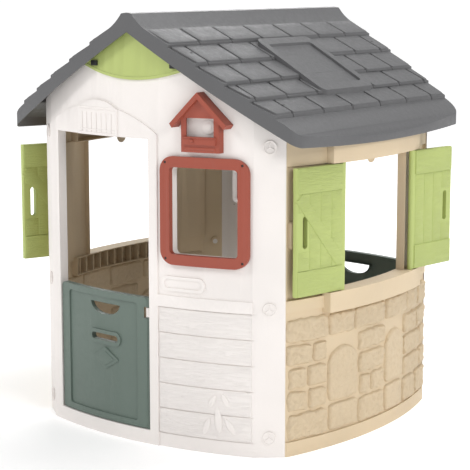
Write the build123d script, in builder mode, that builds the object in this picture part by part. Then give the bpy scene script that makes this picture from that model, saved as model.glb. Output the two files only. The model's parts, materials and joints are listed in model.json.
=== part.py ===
"""Plastic garden playhouse, about 1.2 m square in plan and 1.36 m high.

Two white gable walls (each with a half door, a window and a small bird house), two sand-coloured
stone-pattern side walls (each with a serving window and a pair of shutters), and a two-piece roof.
The house looks the same when it is turned half a turn about its upright middle line, so the back
and left pieces are the front and right mouldings turned.

Millimetres. +Z is up and the front gable faces -Y. Everything is drawn about the house's middle and
written about the middle of the overall size, which the most open shutter moves a little to the left.
"""

import os
from math import hypot, sqrt

from build123d import *

# ---------------------------------------------------------------- driving sizes

# plan of the house
GABLE_HALF = 408        # half width of the bowed gable face, to its corner kinks
GABLE_KINK_Y = 487      # distance of those kinks from the middle
GABLE_BOW = 72          # how far the gable face swells past its kinks
CORNER_X = 75           # the corner strip's size along X
CORNER_Y = 57           # and along Y
SIDE_BOW = 70           # how far the side wall swells past its ends
SIDE_INSET = 4          # step from the corner strip back to the side wall

# roof
RIDGE_UNDER = 1296      # underside line of the roof at the ridge
RIDGE_TOP = 1355        # top of the ridge roll
ROOF_SLOPE = 0.58       # fall per unit of X
ROOF_END_REACH = 29     # the roof's edge stands this far out from the middle of the gable
ROOF_END_HALF = 500     # the roof edge's bow is measured over this half width
ROOF_END_BOW = 72
EAVE_REACH = 41         # and the eave this far out from the middle of the side wall
EAVE_BOW = 22
EAVE_HALF = 480
EAVE_CORNER = 42        # rounding of the roof's corners in plan
EAVE_TURN = 28          # the tiles turn down into the fascia over this much of X
EAVE_FALL = 24          # and have fallen this much by the eave's face
EAVE_SOFTEN = 6
EAVE_RELIEF = 8         # the side walls' tops stay this much lower than the gables'
TILE_BASE = 45.3        # height of a tile's upper end above the underside line
TILE_LIFT = 10          # how far its lower end stands above the next course
COURSE_ENDS = (155, 251, 346, 425, 502)
RIDGE_ROLL = 20         # half width of the ridge roll
RIDGE_FLARE = 70        # where the ridge flare ends
RIDGE_CROWN = 3         # the roll's rounding from its middle to its edge
TILES_PER_COURSE = 7
TILE_GAP = 5
TILE_GAP_DEPTH = 2

# thicknesses
SKIN = 3                # moulded wall skin
ROOF_SKIN = 4           # roof skin, measured upright
RETURN = 30             # depth of the edges turned inwards around openings
RELIEF = 5              # how far raised trim stands out
BITE = 1                # raised trim is rooted this deep in the skin
GAP = 0.3               # clearance of a seated or sliding face

# gable wall
BASE_TOP = 45           # top of the plinth strip
DOOR_LEFT = -360
DOOR_RIGHT = 60
DOOR_TOP = 970
SURROUND_RIGHT = 92
SURROUND_SPRING = 986   # where the arched top of the door surround starts
SURROUND_RISE = 80
TRANSOM_W = 180
TRANSOM_H = 112
TRANSOM_SLATS = 7
WINDOW_X = 255
WINDOW_Z = 756
WINDOW_W = 230
WINDOW_H = 276
WINDOW_CORNER = 16
FRAME_BORDER = 30
FRAME_PROUD = 14
PLANK_TOP = 450
PLANKS = 5
GROOVE = 3
GROOVE_DEPTH = 1.5
RAIL_TOP = 488
BADGE_X = 182
BADGE_Z = 527
BADGE_W = 150
BADGE_H = 46
GABLE_ARC_X = 215       # the gable insert's lower edge meets the roof here
GABLE_ARC_SAG = 42
GABLE_PROUD = 4

# bird house
BIRD_X = 255
BIRD_FLOOR = 940
BIRD_W = 122
BIRD_EAVE = 1042
BIRD_APEX = 1122
BIRD_ROOF_HALF = 92
BIRD_DEPTH = 24
BIRD_ROOF_DEPTH = 38
BIRD_ROOF_THICK = 16

# half door
LEAF_TOP = 470
LEAF_THICK = 22
LEAF_GAP_BOTTOM = 3
LEAF_GAP_SIDE = 5
BARREL_R = 11
BARREL_GAP = 2
PIN_R = 5
PIN_CLEARANCE = 0.3
PIN_DEPTH = 12
CLIP_BOTTOM = 408
CLIP_HEIGHT = 30
CLIP_R = 10
LEAF_RIM = 40
PANEL_RECESS = 5
SLOT_X = -137
SLOT_Z = 318
SLOT_W = 120
SLOT_H = 22
SLOT_RIM = 12
GRIP_W = 134
GRIP_H = 38
GRIP_TOP = 430

# side wall
SILL_TOP = 500
SILL_BOTTOM = 437
SILL_HALF = 280
SILL_PROUD = 30
SIDE_RAIL_BOTTOM = 452
SIDE_RAIL_TOP = 490
OPENING_HALF = 195
OPENING_TOP = 900
HEAD_HALF = 265
HEAD_PROUD = 25
HEAD_TOP = 972
TAB_R = 24
RECESS = 10             # the wall beside the window is set back
RECESS_END = 420
BUMPER_Y = 398
BUMPER_Z = 690
BUMPER_W = 22
BUMPER_H = 86
STONE_PROUD = 6

# shutters
SHUTTER_W = 209
SHUTTER_THICK = 18
SHUTTER_GAP = 3
SHUTTER_SKIN = 3.2
SHUTTER_BARREL_R = 9
HINGE_PROUD = 15.18     # the hinge axis stands this far out from the side face beside it
HINGE_Y = 212
SHUTTER_PIN_DEPTH = 9
BATTEN_H = 78
BATTEN_PROUD = 1.5
HAND_SLOT_H = 100
HAND_SLOT_W = 20
HAND_SLOT_INSET = 36
VENT_R = 2.5
# where each shutter stands at rest, as its direction in plan from its hinge
RIGHT_FRONT_ANGLE = -101
RIGHT_BACK_ANGLE = 82
LEFT_FRONT_ANGLE = 249
LEFT_BACK_ANGLE = 79

# fasteners
CAP_R = 21
CAP_THICK = 5
CAP_RECESS = 2.5
BOLT_R = 9
NUT_R = 16
NUT_THICK = 10
CORNER_SCREW_Z = (62, 465, 960)
ROOF_SCREW_GABLE_X = 194
ROOF_SCREW_POST = 28    # the side walls' roof screws stand this far in from the corner post
ROOF_SCREW_INSET = 20
SCREW_HEAD_R = 8
SCREW_HEAD = 4
SCREW_R = 3
SCREW_LENGTH = 30
SMALL_HEAD_R = 4
SMALL_SCREW_R = 1.5
FRAME_SCREW_INSET = 19
BOSS_R = 9
BOSS_H = 60
CUP_R = 13
CUP_FLOOR = 9
RIDGE_BOLT_INSET = 30   # the end bolts of the ridge stand this far in from the side walls' ends
RIDGE_BOLT_DROP = 40
RIDGE_BOLT_R = 4
RIDGE_HEAD_R = 8
CLIP_X = 158
CLIP_W = 26
CLIP_H = 16
CLIP_THICK = 7
SKYLIGHT_START = 172
SKYLIGHT_END = 436
SKYLIGHT_HALF = 152
SKYLIGHT_BORDER = 30
SKYLIGHT_CORNER = 26
SKYLIGHT_RISE = 24
SKYLIGHT_SINK = 9

# ---------------------------------------------------------------- sizes that follow

POST_X = GABLE_HALF + CORNER_X
POST_Y = GABLE_KINK_Y - CORNER_Y
CORNER_LEN = hypot(CORNER_X, CORNER_Y)
NORMAL_X = CORNER_Y / CORNER_LEN
NORMAL_Y = CORNER_X / CORNER_LEN


def bow_radius(half_chord, rise):
    """Radius of the arc that swells by rise over twice half_chord."""
    return (half_chord**2 + rise**2) / (2 * rise)


GABLE_R = bow_radius(GABLE_HALF, GABLE_BOW)
GABLE_FACE = GABLE_KINK_Y + GABLE_BOW
GABLE_CENTRE = GABLE_R - GABLE_FACE
SIDE_CHORD_X = POST_X - SIDE_INSET
SIDE_R = bow_radius(POST_Y, SIDE_BOW)
SIDE_FACE = SIDE_CHORD_X + SIDE_BOW
SIDE_CENTRE = SIDE_R - SIDE_FACE
ROOF_END_Y = GABLE_FACE + ROOF_END_REACH
ROOF_END_R = bow_radius(ROOF_END_HALF, ROOF_END_BOW)
EAVE_X = SIDE_FACE + EAVE_REACH
EAVE_R = bow_radius(EAVE_HALF, EAVE_BOW)
WALL_RISE = TILE_BASE - ROOF_SKIN - GAP     # the wall tops meet the roof skin here
TOP = RIDGE_TOP + 50                        # taller than anything
REACH = 1.5 * (EAVE_X + CORNER_X)           # wider than anything
ROOF_SCREW_X = (ROOF_SCREW_GABLE_X, POST_X - ROOF_SCREW_POST)
RIDGE_BOLT_Y = (RIDGE_BOLT_INSET - POST_Y, 0, POST_Y - RIDGE_BOLT_INSET)
DOOR_MID = (DOOR_LEFT + DOOR_RIGHT) / 2
LEAF_BOTTOM = BASE_TOP + LEAF_GAP_BOTTOM
LEAF_LEFT = DOOR_LEFT + LEAF_GAP_SIDE
DOOR_AXIS_X = DOOR_RIGHT - BARREL_GAP - BARREL_R
DOOR_AXIS_Y = GABLE_CENTRE - sqrt(GABLE_R**2 - DOOR_AXIS_X**2) + BARREL_R + BITE


def roof_under(x):
    """Height of the roof's underside line at a distance x from the ridge."""
    return RIDGE_UNDER - ROOF_SLOPE * abs(x)


def gable_y(x, depth=0):
    """Y of the front gable face at x, moved inwards by depth."""
    return GABLE_CENTRE - sqrt((GABLE_R - depth)**2 - x**2)


def side_x(y, depth=0):
    """X of the right side wall's face at y, moved inwards by depth."""
    return sqrt((SIDE_R - depth)**2 - y**2) - SIDE_CENTRE


HINGE_X = side_x(HINGE_Y) + HINGE_PROUD


# ---------------------------------------------------------------- plan outlines


def gable_plan(offset):
    """Inside of the front gable face and of all four corner strips, moved outwards by offset."""
    tip_x = GABLE_HALF + (offset + NORMAL_Y * GABLE_KINK_Y) / NORMAL_X
    tip_y = GABLE_KINK_Y + (offset + NORMAL_X * GABLE_HALF) / NORMAL_Y
    with BuildSketch() as plan:
        with Locations((0, GABLE_CENTRE)):
            Circle(GABLE_R + offset)
        Polygon((tip_x, 0), (0, tip_y), (-tip_x, 0), (0, -tip_y), align=None, mode=Mode.INTERSECT)
    return plan.sketch


def side_plan(offset):
    """Inside of the right side face, moved outwards by offset."""
    with BuildSketch() as plan:
        with Locations((-SIDE_CENTRE, 0)):
            Circle(SIDE_R + offset)
    return plan.sketch


def gable_layer(inner, outer):
    """The layer of the front gable between two offsets from its face, as tall as the house."""
    with BuildPart() as layer:
        extrude(gable_plan(outer), amount=TOP)
        extrude(gable_plan(inner), amount=TOP, mode=Mode.SUBTRACT)
        with Locations((0, -REACH / 2 - POST_Y / 2, TOP / 2)):
            Box(2 * POST_X, REACH, TOP, mode=Mode.INTERSECT)
    return layer.part


def side_layer(inner, outer):
    """The layer of the right side wall between two offsets from its face."""
    with BuildPart() as layer:
        extrude(side_plan(outer), amount=TOP)
        extrude(side_plan(inner), amount=TOP, mode=Mode.SUBTRACT)
        with Locations((REACH / 2 + POST_X / 2, 0, TOP / 2)):
            Box(REACH, 2 * POST_Y + 2 * CORNER_Y, TOP, mode=Mode.INTERSECT)
    return layer.part


def on_gable(outline, inner, outer):
    """What lies behind an outline, seen from the front, between two offsets from the gable face."""
    with BuildPart() as piece:
        add(gable_layer(inner, outer))
        extrude(outline, amount=REACH, mode=Mode.INTERSECT)
    return piece.part


def on_side(outline, inner, outer):
    """What lies behind an outline, seen from the right, between two offsets from the side face."""
    with BuildPart() as piece:
        add(side_layer(inner, outer))
        extrude(outline, amount=REACH, mode=Mode.INTERSECT)
    return piece.part


def panel(plane, left, right, bottom, top, corner=0):
    """A plain or round-cornered rectangle given by its edges."""
    with BuildSketch(plane) as outline:
        with Locations(((left + right) / 2, (bottom + top) / 2)):
            if corner:
                RectangleRounded(right - left, top - bottom, corner)
            else:
                Rectangle(right - left, top - bottom)
    return outline.sketch


def front_panel(left, right, bottom, top, corner=0):
    """A rectangle seen from the front."""
    return panel(Plane.XZ, left, right, bottom, top, corner)


def side_panel(front, back, bottom, top, corner=0):
    """A rectangle seen from the right."""
    return panel(Plane.YZ, front, back, bottom, top, corner)


def under_roof(rise):
    """Everything lower than rise above the roof's underside line."""
    with BuildPart() as room:
        with BuildSketch(Plane.XZ.offset(-REACH)):
            with BuildLine():
                Polyline((-REACH, roof_under(REACH) + rise), (0, RIDGE_UNDER + rise),
                         (REACH, roof_under(REACH) + rise), (REACH, 0), (-REACH, 0),
                         (-REACH, roof_under(REACH) + rise))
            make_face()
        extrude(amount=2 * REACH)
    return room.part


def half_turn(part):
    """The same moulding on the opposite side of the house."""
    return part.rotate(Axis.Z, 180)


def both_ends(part):
    """A piece together with its copy on the opposite side of the house."""
    with BuildPart() as pair:
        add(part)
        add(half_turn(part))
    return pair.part


# ---------------------------------------------------------------- shutters

shutter_bottom = SILL_TOP + SHUTTER_GAP
shutter_top = OPENING_TOP - SHUTTER_GAP
shutter_h = shutter_top - shutter_bottom
shutter_mid = (shutter_bottom + shutter_top) / 2


def shutter(side, end, angle):
    """One shutter turned to stand at an angle in plan from its hinge."""
    with BuildPart() as leaf:
        with Locations((SHUTTER_W / 2, 0, 0)):
            Box(SHUTTER_W, SHUTTER_THICK, shutter_h)
        fillet(leaf.edges().filter_by(Axis.Z).group_by(Axis.X)[-1], 4)
        with Locations((SHUTTER_W / 2, SHUTTER_THICK / 2 + BATTEN_PROUD / 2, 0)):
            with Locations((0, 0, shutter_h / 2 - BATTEN_H / 2), (0, 0, BATTEN_H / 2 - shutter_h / 2)):
                Box(SHUTTER_W - 2 * SHUTTER_BARREL_R, BATTEN_PROUD, BATTEN_H)
        # hollow, with a hand slot through it and a vent in its foot
        with Locations((SHUTTER_W / 2, 0, 0)):
            Box(SHUTTER_W - 2 * SHUTTER_SKIN - SHUTTER_BARREL_R, SHUTTER_THICK - 2 * SHUTTER_SKIN,
                shutter_h - 2 * SHUTTER_SKIN, mode=Mode.SUBTRACT)
        with BuildSketch(Plane.XZ.offset(-SHUTTER_THICK / 2)):
            with Locations((SHUTTER_W - HAND_SLOT_INSET, 0)):
                SlotOverall(HAND_SLOT_H + 2 * SHUTTER_SKIN, HAND_SLOT_W + 2 * SHUTTER_SKIN, rotation=90)
        extrude(amount=SHUTTER_THICK)
        with BuildSketch(Plane.XZ.offset(-SHUTTER_THICK)):
            with Locations((SHUTTER_W - HAND_SLOT_INSET, 0)):
                SlotOverall(HAND_SLOT_H, HAND_SLOT_W, rotation=90)
        extrude(amount=2 * SHUTTER_THICK, mode=Mode.SUBTRACT)
        with Locations((SHUTTER_W / 2, 0, -shutter_h / 2)):
            Cylinder(VENT_R, 4 * SHUTTER_SKIN, mode=Mode.SUBTRACT)
        Cylinder(SHUTTER_BARREL_R, shutter_h + 2 * SHUTTER_GAP - 2 * GAP)
        Cylinder(PIN_R, shutter_h + 2 * SHUTTER_GAP + 2 * SHUTTER_PIN_DEPTH)
    return leaf.part.rotate(Axis.Z, angle).translate((side * HINGE_X, end * HINGE_Y, shutter_mid))


left_front_shutter = shutter(-1, -1, LEFT_FRONT_ANGLE)
BOX_MID_X = (EAVE_X + left_front_shutter.bounding_box().min.X) / 2


def save(part, name):
    """Label a finished piece and write it, measured from the middle of the overall size."""
    placed = part.translate((-BOX_MID_X, 0, 0))
    placed.label = name
    export_step(placed, f"parts/{name}.step")


os.makedirs("parts", exist_ok=True)

save(shutter(1, -1, RIGHT_FRONT_ANGLE), "right_front_shutter")
save(shutter(1, 1, RIGHT_BACK_ANGLE), "right_back_shutter")
save(left_front_shutter, "left_front_shutter")
save(shutter(-1, 1, LEFT_BACK_ANGLE), "left_back_shutter")

# ---------------------------------------------------------------- gable wall

# the door surround has an arched top
with BuildSketch(Plane.XZ) as surround_outline:
    with BuildLine():
        Polyline((-GABLE_HALF, SURROUND_SPRING), (-GABLE_HALF, 0), (SURROUND_RIGHT, 0),
                 (SURROUND_RIGHT, SURROUND_SPRING))
        ThreePointArc((-GABLE_HALF, SURROUND_SPRING), (DOOR_MID, SURROUND_SPRING + SURROUND_RISE),
                      (SURROUND_RIGHT, SURROUND_SPRING))
    make_face()

# the transom light over the door is a raised panel with an arched head and upright slats
with BuildSketch(Plane.XZ) as transom_outline:
    with BuildLine():
        Polyline((DOOR_MID - TRANSOM_W / 2, DOOR_TOP + TRANSOM_H - 28), (DOOR_MID - TRANSOM_W / 2, DOOR_TOP),
                 (DOOR_MID + TRANSOM_W / 2, DOOR_TOP), (DOOR_MID + TRANSOM_W / 2, DOOR_TOP + TRANSOM_H - 28))
        ThreePointArc((DOOR_MID - TRANSOM_W / 2, DOOR_TOP + TRANSOM_H - 28),
                      (DOOR_MID, DOOR_TOP + TRANSOM_H),
                      (DOOR_MID + TRANSOM_W / 2, DOOR_TOP + TRANSOM_H - 28))
    make_face()

with BuildSketch(Plane.XZ) as transom_slats:
    with Locations((DOOR_MID, DOOR_TOP + 40)):
        with GridLocations(TRANSOM_W / (TRANSOM_SLATS + 1), 0, TRANSOM_SLATS, 1):
            Rectangle(GROOVE, 62)

with BuildSketch(Plane.XZ) as plank_grooves:
    with Locations(((SURROUND_RIGHT + GABLE_HALF) / 2, (BASE_TOP + PLANK_TOP) / 2)):
        with GridLocations(0, (PLANK_TOP - BASE_TOP) / PLANKS, 1, PLANKS + 1):
            Rectangle(GABLE_HALF - SURROUND_RIGHT, GROOVE)

door_hole = front_panel(DOOR_LEFT, DOOR_RIGHT, BASE_TOP, DOOR_TOP, 3)
door_edge = front_panel(DOOR_LEFT - SKIN, DOOR_RIGHT + SKIN, BASE_TOP - SKIN, DOOR_TOP + SKIN, 3)
window_hole = front_panel(WINDOW_X - WINDOW_W / 2, WINDOW_X + WINDOW_W / 2,
                          WINDOW_Z - WINDOW_H / 2, WINDOW_Z + WINDOW_H / 2, WINDOW_CORNER)
window_edge = front_panel(WINDOW_X - WINDOW_W / 2 - SKIN, WINDOW_X + WINDOW_W / 2 + SKIN,
                          WINDOW_Z - WINDOW_H / 2 - SKIN, WINDOW_Z + WINDOW_H / 2 + SKIN,
                          WINDOW_CORNER + SKIN)
badge = front_panel(BADGE_X - BADGE_W / 2, BADGE_X + BADGE_W / 2,
                    BADGE_Z - BADGE_H / 2, BADGE_Z + BADGE_H / 2, BADGE_H / 2 - 1)
badge_field = front_panel(BADGE_X - BADGE_W / 2 + 10, BADGE_X + BADGE_W / 2 - 10,
                          BADGE_Z - BADGE_H / 2 + 9, BADGE_Z + BADGE_H / 2 - 9, BADGE_H / 2 - 10)
rail = front_panel(SURROUND_RIGHT, GABLE_HALF - SKIN, PLANK_TOP, RAIL_TOP, SKIN)
foot = front_panel(-GABLE_HALF + SKIN, GABLE_HALF - SKIN, 0, SKIN)
whole_front = front_panel(-POST_X, POST_X, 0, TOP)
stop_rib = front_panel(DOOR_LEFT, DOOR_LEFT + 14, BASE_TOP + 60, LEAF_TOP - 60)


def corner_place(side, end, height, offset=0):
    """Place on a corner strip (side is the sign of X, end the sign of Y), its Z pointing out."""
    mid_x = GABLE_HALF + CORNER_X / 2 + NORMAL_X * offset
    mid_y = GABLE_KINK_Y - CORNER_Y / 2 + NORMAL_Y * offset
    return Plane(origin=(side * mid_x, end * mid_y, height), x_dir=(0, 0, 1),
                 z_dir=(side * NORMAL_X, end * NORMAL_Y, 0)).location


# small screws hold the window frame from outside, and the bird house from inside
frame_left = WINDOW_X - WINDOW_W / 2 - FRAME_BORDER
frame_right = WINDOW_X + WINDOW_W / 2 + FRAME_BORDER
frame_bottom = WINDOW_Z - WINDOW_H / 2 - FRAME_BORDER
frame_top = WINDOW_Z + WINDOW_H / 2 + FRAME_BORDER
frame_screw_places = [(x, z) for x in (frame_left + FRAME_SCREW_INSET, frame_right - FRAME_SCREW_INSET)
                      for z in (frame_bottom + FRAME_SCREW_INSET, frame_top - FRAME_SCREW_INSET)]
bird_screw_places = [(BIRD_X, BIRD_FLOOR + 12), (BIRD_X, BIRD_EAVE + 26)]


def facing_front(x, z, offset=0):
    """Place on the front gable face, its Z pointing straight out, at an offset from the face."""
    return Plane(origin=(x, gable_y(x) - offset, z), z_dir=(0, -1, 0)).location


with BuildSketch(Plane.XZ) as raised_trim:
    add(surround_outline.sketch)
    add(rail)
    add(badge)
with BuildSketch(Plane.XZ) as gable_returns:
    add(door_edge)
    add(window_edge)
    add(foot)

with BuildPart() as front_wall:
    add(on_gable(whole_front, -SKIN, 0))
    add(on_gable(raised_trim.sketch, -BITE, RELIEF))
    add(on_gable(transom_outline.sketch, -2 * BITE, 2 * RELIEF))
    add(on_gable(gable_returns.sketch, -RETURN, -3 * BITE))
    add(on_gable(transom_slats.sketch, 2 * RELIEF - GROOVE_DEPTH, RETURN), mode=Mode.SUBTRACT)
    add(on_gable(plank_grooves.sketch, -GROOVE_DEPTH, RETURN), mode=Mode.SUBTRACT)
    add(on_gable(badge_field, BITE, RETURN), mode=Mode.SUBTRACT)
    extrude(door_hole, amount=REACH, mode=Mode.SUBTRACT)
    extrude(window_hole, amount=REACH, mode=Mode.SUBTRACT)
    add(on_gable(stop_rib, -RETURN + BITE, -LEAF_THICK - GAP))
    for side in (-1, 1):
        x = side * ROOF_SCREW_X[0]
        boss_top = roof_under(x) + WALL_RISE
        with Locations((x, gable_y(x, ROOF_SCREW_INSET / 2), boss_top)):
            Box(SKIN, ROOF_SCREW_INSET - SKIN, 2 * BOSS_H)
        with Locations((x, gable_y(x, ROOF_SCREW_INSET), boss_top)):
            Cylinder(BOSS_R, 2 * BOSS_H)
            Cylinder(SCREW_R, 2 * BOSS_H, mode=Mode.SUBTRACT)
    add(under_roof(WALL_RISE), mode=Mode.INTERSECT)
    for side in (-1, 1):
        for height in CORNER_SCREW_Z:
            with Locations(corner_place(side, -1, height)):
                Cylinder(BOLT_R + GAP, 4 * SKIN, mode=Mode.SUBTRACT)
    for x, z in frame_screw_places:
        with Locations(facing_front(x, z)):
            Cylinder(SMALL_SCREW_R, 4 * SKIN, mode=Mode.SUBTRACT)
    for x, z in bird_screw_places:
        with Locations(facing_front(x, z)):
            Cylinder(SCREW_R + GAP, 4 * SKIN, mode=Mode.SUBTRACT)
    # the lower door pin turns in the plinth's top
    with Locations((DOOR_AXIS_X, DOOR_AXIS_Y, BASE_TOP)):
        Cylinder(PIN_R + PIN_CLEARANCE, 4 * SKIN, mode=Mode.SUBTRACT)
save(front_wall.part, "front_wall")
save(half_turn(front_wall.part), "back_wall")

# ---------------------------------------------------------------- side wall

whole_side = side_panel(-REACH, REACH, 0, TOP)
side_hole = side_panel(-OPENING_HALF, OPENING_HALF, SILL_TOP, OPENING_TOP)
sill_block = side_panel(-SILL_HALF, SILL_HALF, SILL_BOTTOM, SILL_TOP)
sill_hollow = side_panel(-SILL_HALF + SKIN, SILL_HALF - SKIN, SILL_BOTTOM + SKIN, SILL_TOP - SKIN)
head_block = side_panel(-HEAD_HALF, HEAD_HALF, OPENING_TOP, HEAD_TOP)
head_hollow = side_panel(-HEAD_HALF + SKIN, HEAD_HALF - SKIN, OPENING_TOP + SKIN, HEAD_TOP - SKIN)
recess_bottom = SIDE_RAIL_TOP
recess_top = OPENING_TOP
recess_mid_z = (recess_bottom + recess_top) / 2
recess_start = OPENING_HALF + SKIN
recess_mid_y = (recess_start + RECESS_END) / 2

with BuildSketch(Plane.YZ) as side_trim:
    for bottom, top in ((0, BASE_TOP), (SIDE_RAIL_BOTTOM, SIDE_RAIL_TOP)):
        with Locations((0, (bottom + top) / 2)):
            Rectangle(2 * POST_Y, top - bottom)
with BuildSketch(Plane.YZ) as side_returns:
    with Locations((0, SKIN / 2)):
        Rectangle(2 * (POST_Y - RETURN), SKIN)
    with Locations((0, (SILL_BOTTOM + SILL_TOP) / 2)):
        Rectangle(2 * SILL_HALF, SILL_TOP - SILL_BOTTOM)
    with Locations((0, (OPENING_TOP + HEAD_TOP) / 2)):
        Rectangle(2 * HEAD_HALF, HEAD_TOP - OPENING_TOP)
    with Locations((0, (SILL_TOP + OPENING_TOP) / 2)):
        Rectangle(2 * recess_start, OPENING_TOP - SILL_TOP)
with BuildSketch(Plane.YZ) as recesses:
    for end in (-1, 1):
        with Locations((end * recess_mid_y, recess_mid_z)):
            Rectangle(RECESS_END - recess_start, recess_top - recess_bottom)
with BuildSketch(Plane.YZ) as recess_floors:
    for end in (-1, 1):
        with Locations((end * recess_mid_y, recess_mid_z)):
            Rectangle(RECESS_END - recess_start + 2 * SKIN, recess_top - recess_bottom + 2 * SKIN)
with BuildSketch(Plane.YZ) as bumpers:
    for end in (-1, 1):
        with Locations((end * BUMPER_Y, BUMPER_Z)):
            RectangleRounded(BUMPER_W, BUMPER_H, BUMPER_W / 2 - 1)
with BuildSketch(Plane.YZ) as stop_tab:
    with Locations((0, OPENING_TOP + 1)):
        Circle(TAB_R)
    with Locations((0, OPENING_TOP + 1 + TAB_R)):
        Rectangle(3 * TAB_R, 2 * TAB_R, mode=Mode.SUBTRACT)

# the end strips lie flat behind the white corner strips
with BuildPart() as side_ends:
    extrude(gable_plan(-SKIN), amount=TOP)
    extrude(gable_plan(-2 * SKIN), amount=TOP, mode=Mode.SUBTRACT)
    with Locations(((GABLE_HALF + POST_X) / 2 + RETURN / 2, 0, TOP / 2)):
        Box(CORNER_X, 2 * GABLE_KINK_Y, TOP, mode=Mode.INTERSECT)
    extrude(side_plan(-BITE), amount=TOP, mode=Mode.INTERSECT)

with BuildPart() as right_wall:
    add(on_side(whole_side, -SKIN, 0))
    add(on_side(side_returns.sketch, -RETURN, -3 * BITE))
    add(on_side(recess_floors.sketch, -RECESS - SKIN, -2 * BITE))
    add(on_side(side_trim.sketch, -BITE, STONE_PROUD))
    add(on_side(recesses.sketch, -RECESS, RETURN), mode=Mode.SUBTRACT)
    add(on_side(sill_block, -2.5 * BITE, SILL_PROUD))
    add(on_side(head_block, -1.5 * BITE, HEAD_PROUD))
    add(on_side(bumpers.sketch, -RECESS - BITE, STONE_PROUD - 2))
    add(on_side(sill_hollow, -2 * RETURN, SILL_PROUD - SKIN), mode=Mode.SUBTRACT)
    add(on_side(head_hollow, -2 * RETURN, HEAD_PROUD - SKIN), mode=Mode.SUBTRACT)
    extrude(side_hole, amount=REACH, mode=Mode.SUBTRACT)
    add(on_side(stop_tab.sketch, -RETURN + BITE, -RETURN + SKIN))
    extrude(gable_plan(-SKIN), amount=TOP, mode=Mode.INTERSECT)
    add(side_ends.part)
    add(under_roof(WALL_RISE - EAVE_RELIEF), mode=Mode.INTERSECT)
    for end in (-1, 1):
        for height in (SILL_TOP, OPENING_TOP):
            with Locations((HINGE_X, end * HINGE_Y, height)):
                Cylinder(PIN_R + PIN_CLEARANCE, 4 * SKIN, mode=Mode.SUBTRACT)
        boss_y = end * (POST_Y - ROOF_SCREW_INSET)
        boss_top = roof_under(ROOF_SCREW_X[1]) + WALL_RISE
        web_end = side_x(boss_y) - SKIN / 2
        with Locations(((ROOF_SCREW_X[1] + web_end) / 2, boss_y, boss_top)):
            Box(web_end - ROOF_SCREW_X[1], SKIN, 2 * BOSS_H)
        with Locations((ROOF_SCREW_X[1], boss_y, boss_top)):
            Cylinder(BOSS_R, 2 * BOSS_H)
            Cylinder(SCREW_R, 2 * BOSS_H, mode=Mode.SUBTRACT)
    add(under_roof(WALL_RISE), mode=Mode.INTERSECT)
    for end in (-1, 1):
        for height in CORNER_SCREW_Z:
            with Locations(corner_place(1, end, height)):
                Cylinder(BOLT_R + GAP, 6 * SKIN, mode=Mode.SUBTRACT)
save(right_wall.part, "right_wall")
save(half_turn(right_wall.part), "left_wall")

# ---------------------------------------------------------------- gable insert

gable_corner_z = roof_under(GABLE_ARC_X) + WALL_RISE / 2
with BuildSketch(Plane.XZ) as insert_outline:
    with BuildLine():
        Polyline((-GABLE_ARC_X, gable_corner_z), (0, RIDGE_UNDER + WALL_RISE - SKIN), (GABLE_ARC_X, gable_corner_z))
        ThreePointArc((GABLE_ARC_X, gable_corner_z), (0, gable_corner_z - GABLE_ARC_SAG),
                      (-GABLE_ARC_X, gable_corner_z))
    make_face()
with BuildSketch(Plane.XZ) as insert_edge:
    add(insert_outline.sketch)
    offset(amount=-3 * SKIN, kind=Kind.INTERSECTION, mode=Mode.SUBTRACT)

with BuildPart() as front_gable:
    add(on_gable(insert_outline.sketch, 0, GABLE_PROUD))
    add(on_gable(insert_edge.sketch, BITE, GABLE_PROUD + 2))
save(front_gable.part, "front_gable")
save(half_turn(front_gable.part), "back_gable")

# ---------------------------------------------------------------- window frame

frame_inner_w = WINDOW_W - 2 * GAP - 2 * SKIN
frame_inner_h = WINDOW_H - 2 * GAP - 2 * SKIN
frame_outline = front_panel(frame_left, frame_right, frame_bottom, frame_top, WINDOW_CORNER + FRAME_BORDER)
frame_sleeve = front_panel(WINDOW_X - WINDOW_W / 2 + GAP, WINDOW_X + WINDOW_W / 2 - GAP,
                           WINDOW_Z - WINDOW_H / 2 + GAP, WINDOW_Z + WINDOW_H / 2 - GAP,
                           WINDOW_CORNER - GAP)
frame_hole = front_panel(WINDOW_X - frame_inner_w / 2, WINDOW_X + frame_inner_w / 2,
                         WINDOW_Z - frame_inner_h / 2, WINDOW_Z + frame_inner_h / 2,
                         WINDOW_CORNER - GAP - SKIN)
frame_back = front_panel(frame_left + SKIN, frame_right - SKIN, frame_bottom + SKIN, frame_top - SKIN,
                         WINDOW_CORNER + FRAME_BORDER - SKIN)

with BuildPart() as front_window_frame:
    add(on_gable(frame_outline, RELIEF, FRAME_PROUD))
    add(on_gable(frame_back, 0, RELIEF + BITE))
    add(on_gable(frame_sleeve, -SKIN, RELIEF + 2 * BITE))
    extrude(frame_hole, amount=REACH, mode=Mode.SUBTRACT)
    for x, z in frame_screw_places:
        with Locations(facing_front(x, z, FRAME_PROUD)):
            Cylinder(SMALL_HEAD_R + GAP, 2 * SCREW_HEAD, mode=Mode.SUBTRACT)
            Cylinder(SMALL_SCREW_R + GAP, 4 * FRAME_PROUD, mode=Mode.SUBTRACT)
save(front_window_frame.part, "front_window_frame")
save(half_turn(front_window_frame.part), "back_window_frame")

# ---------------------------------------------------------------- bird house

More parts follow.
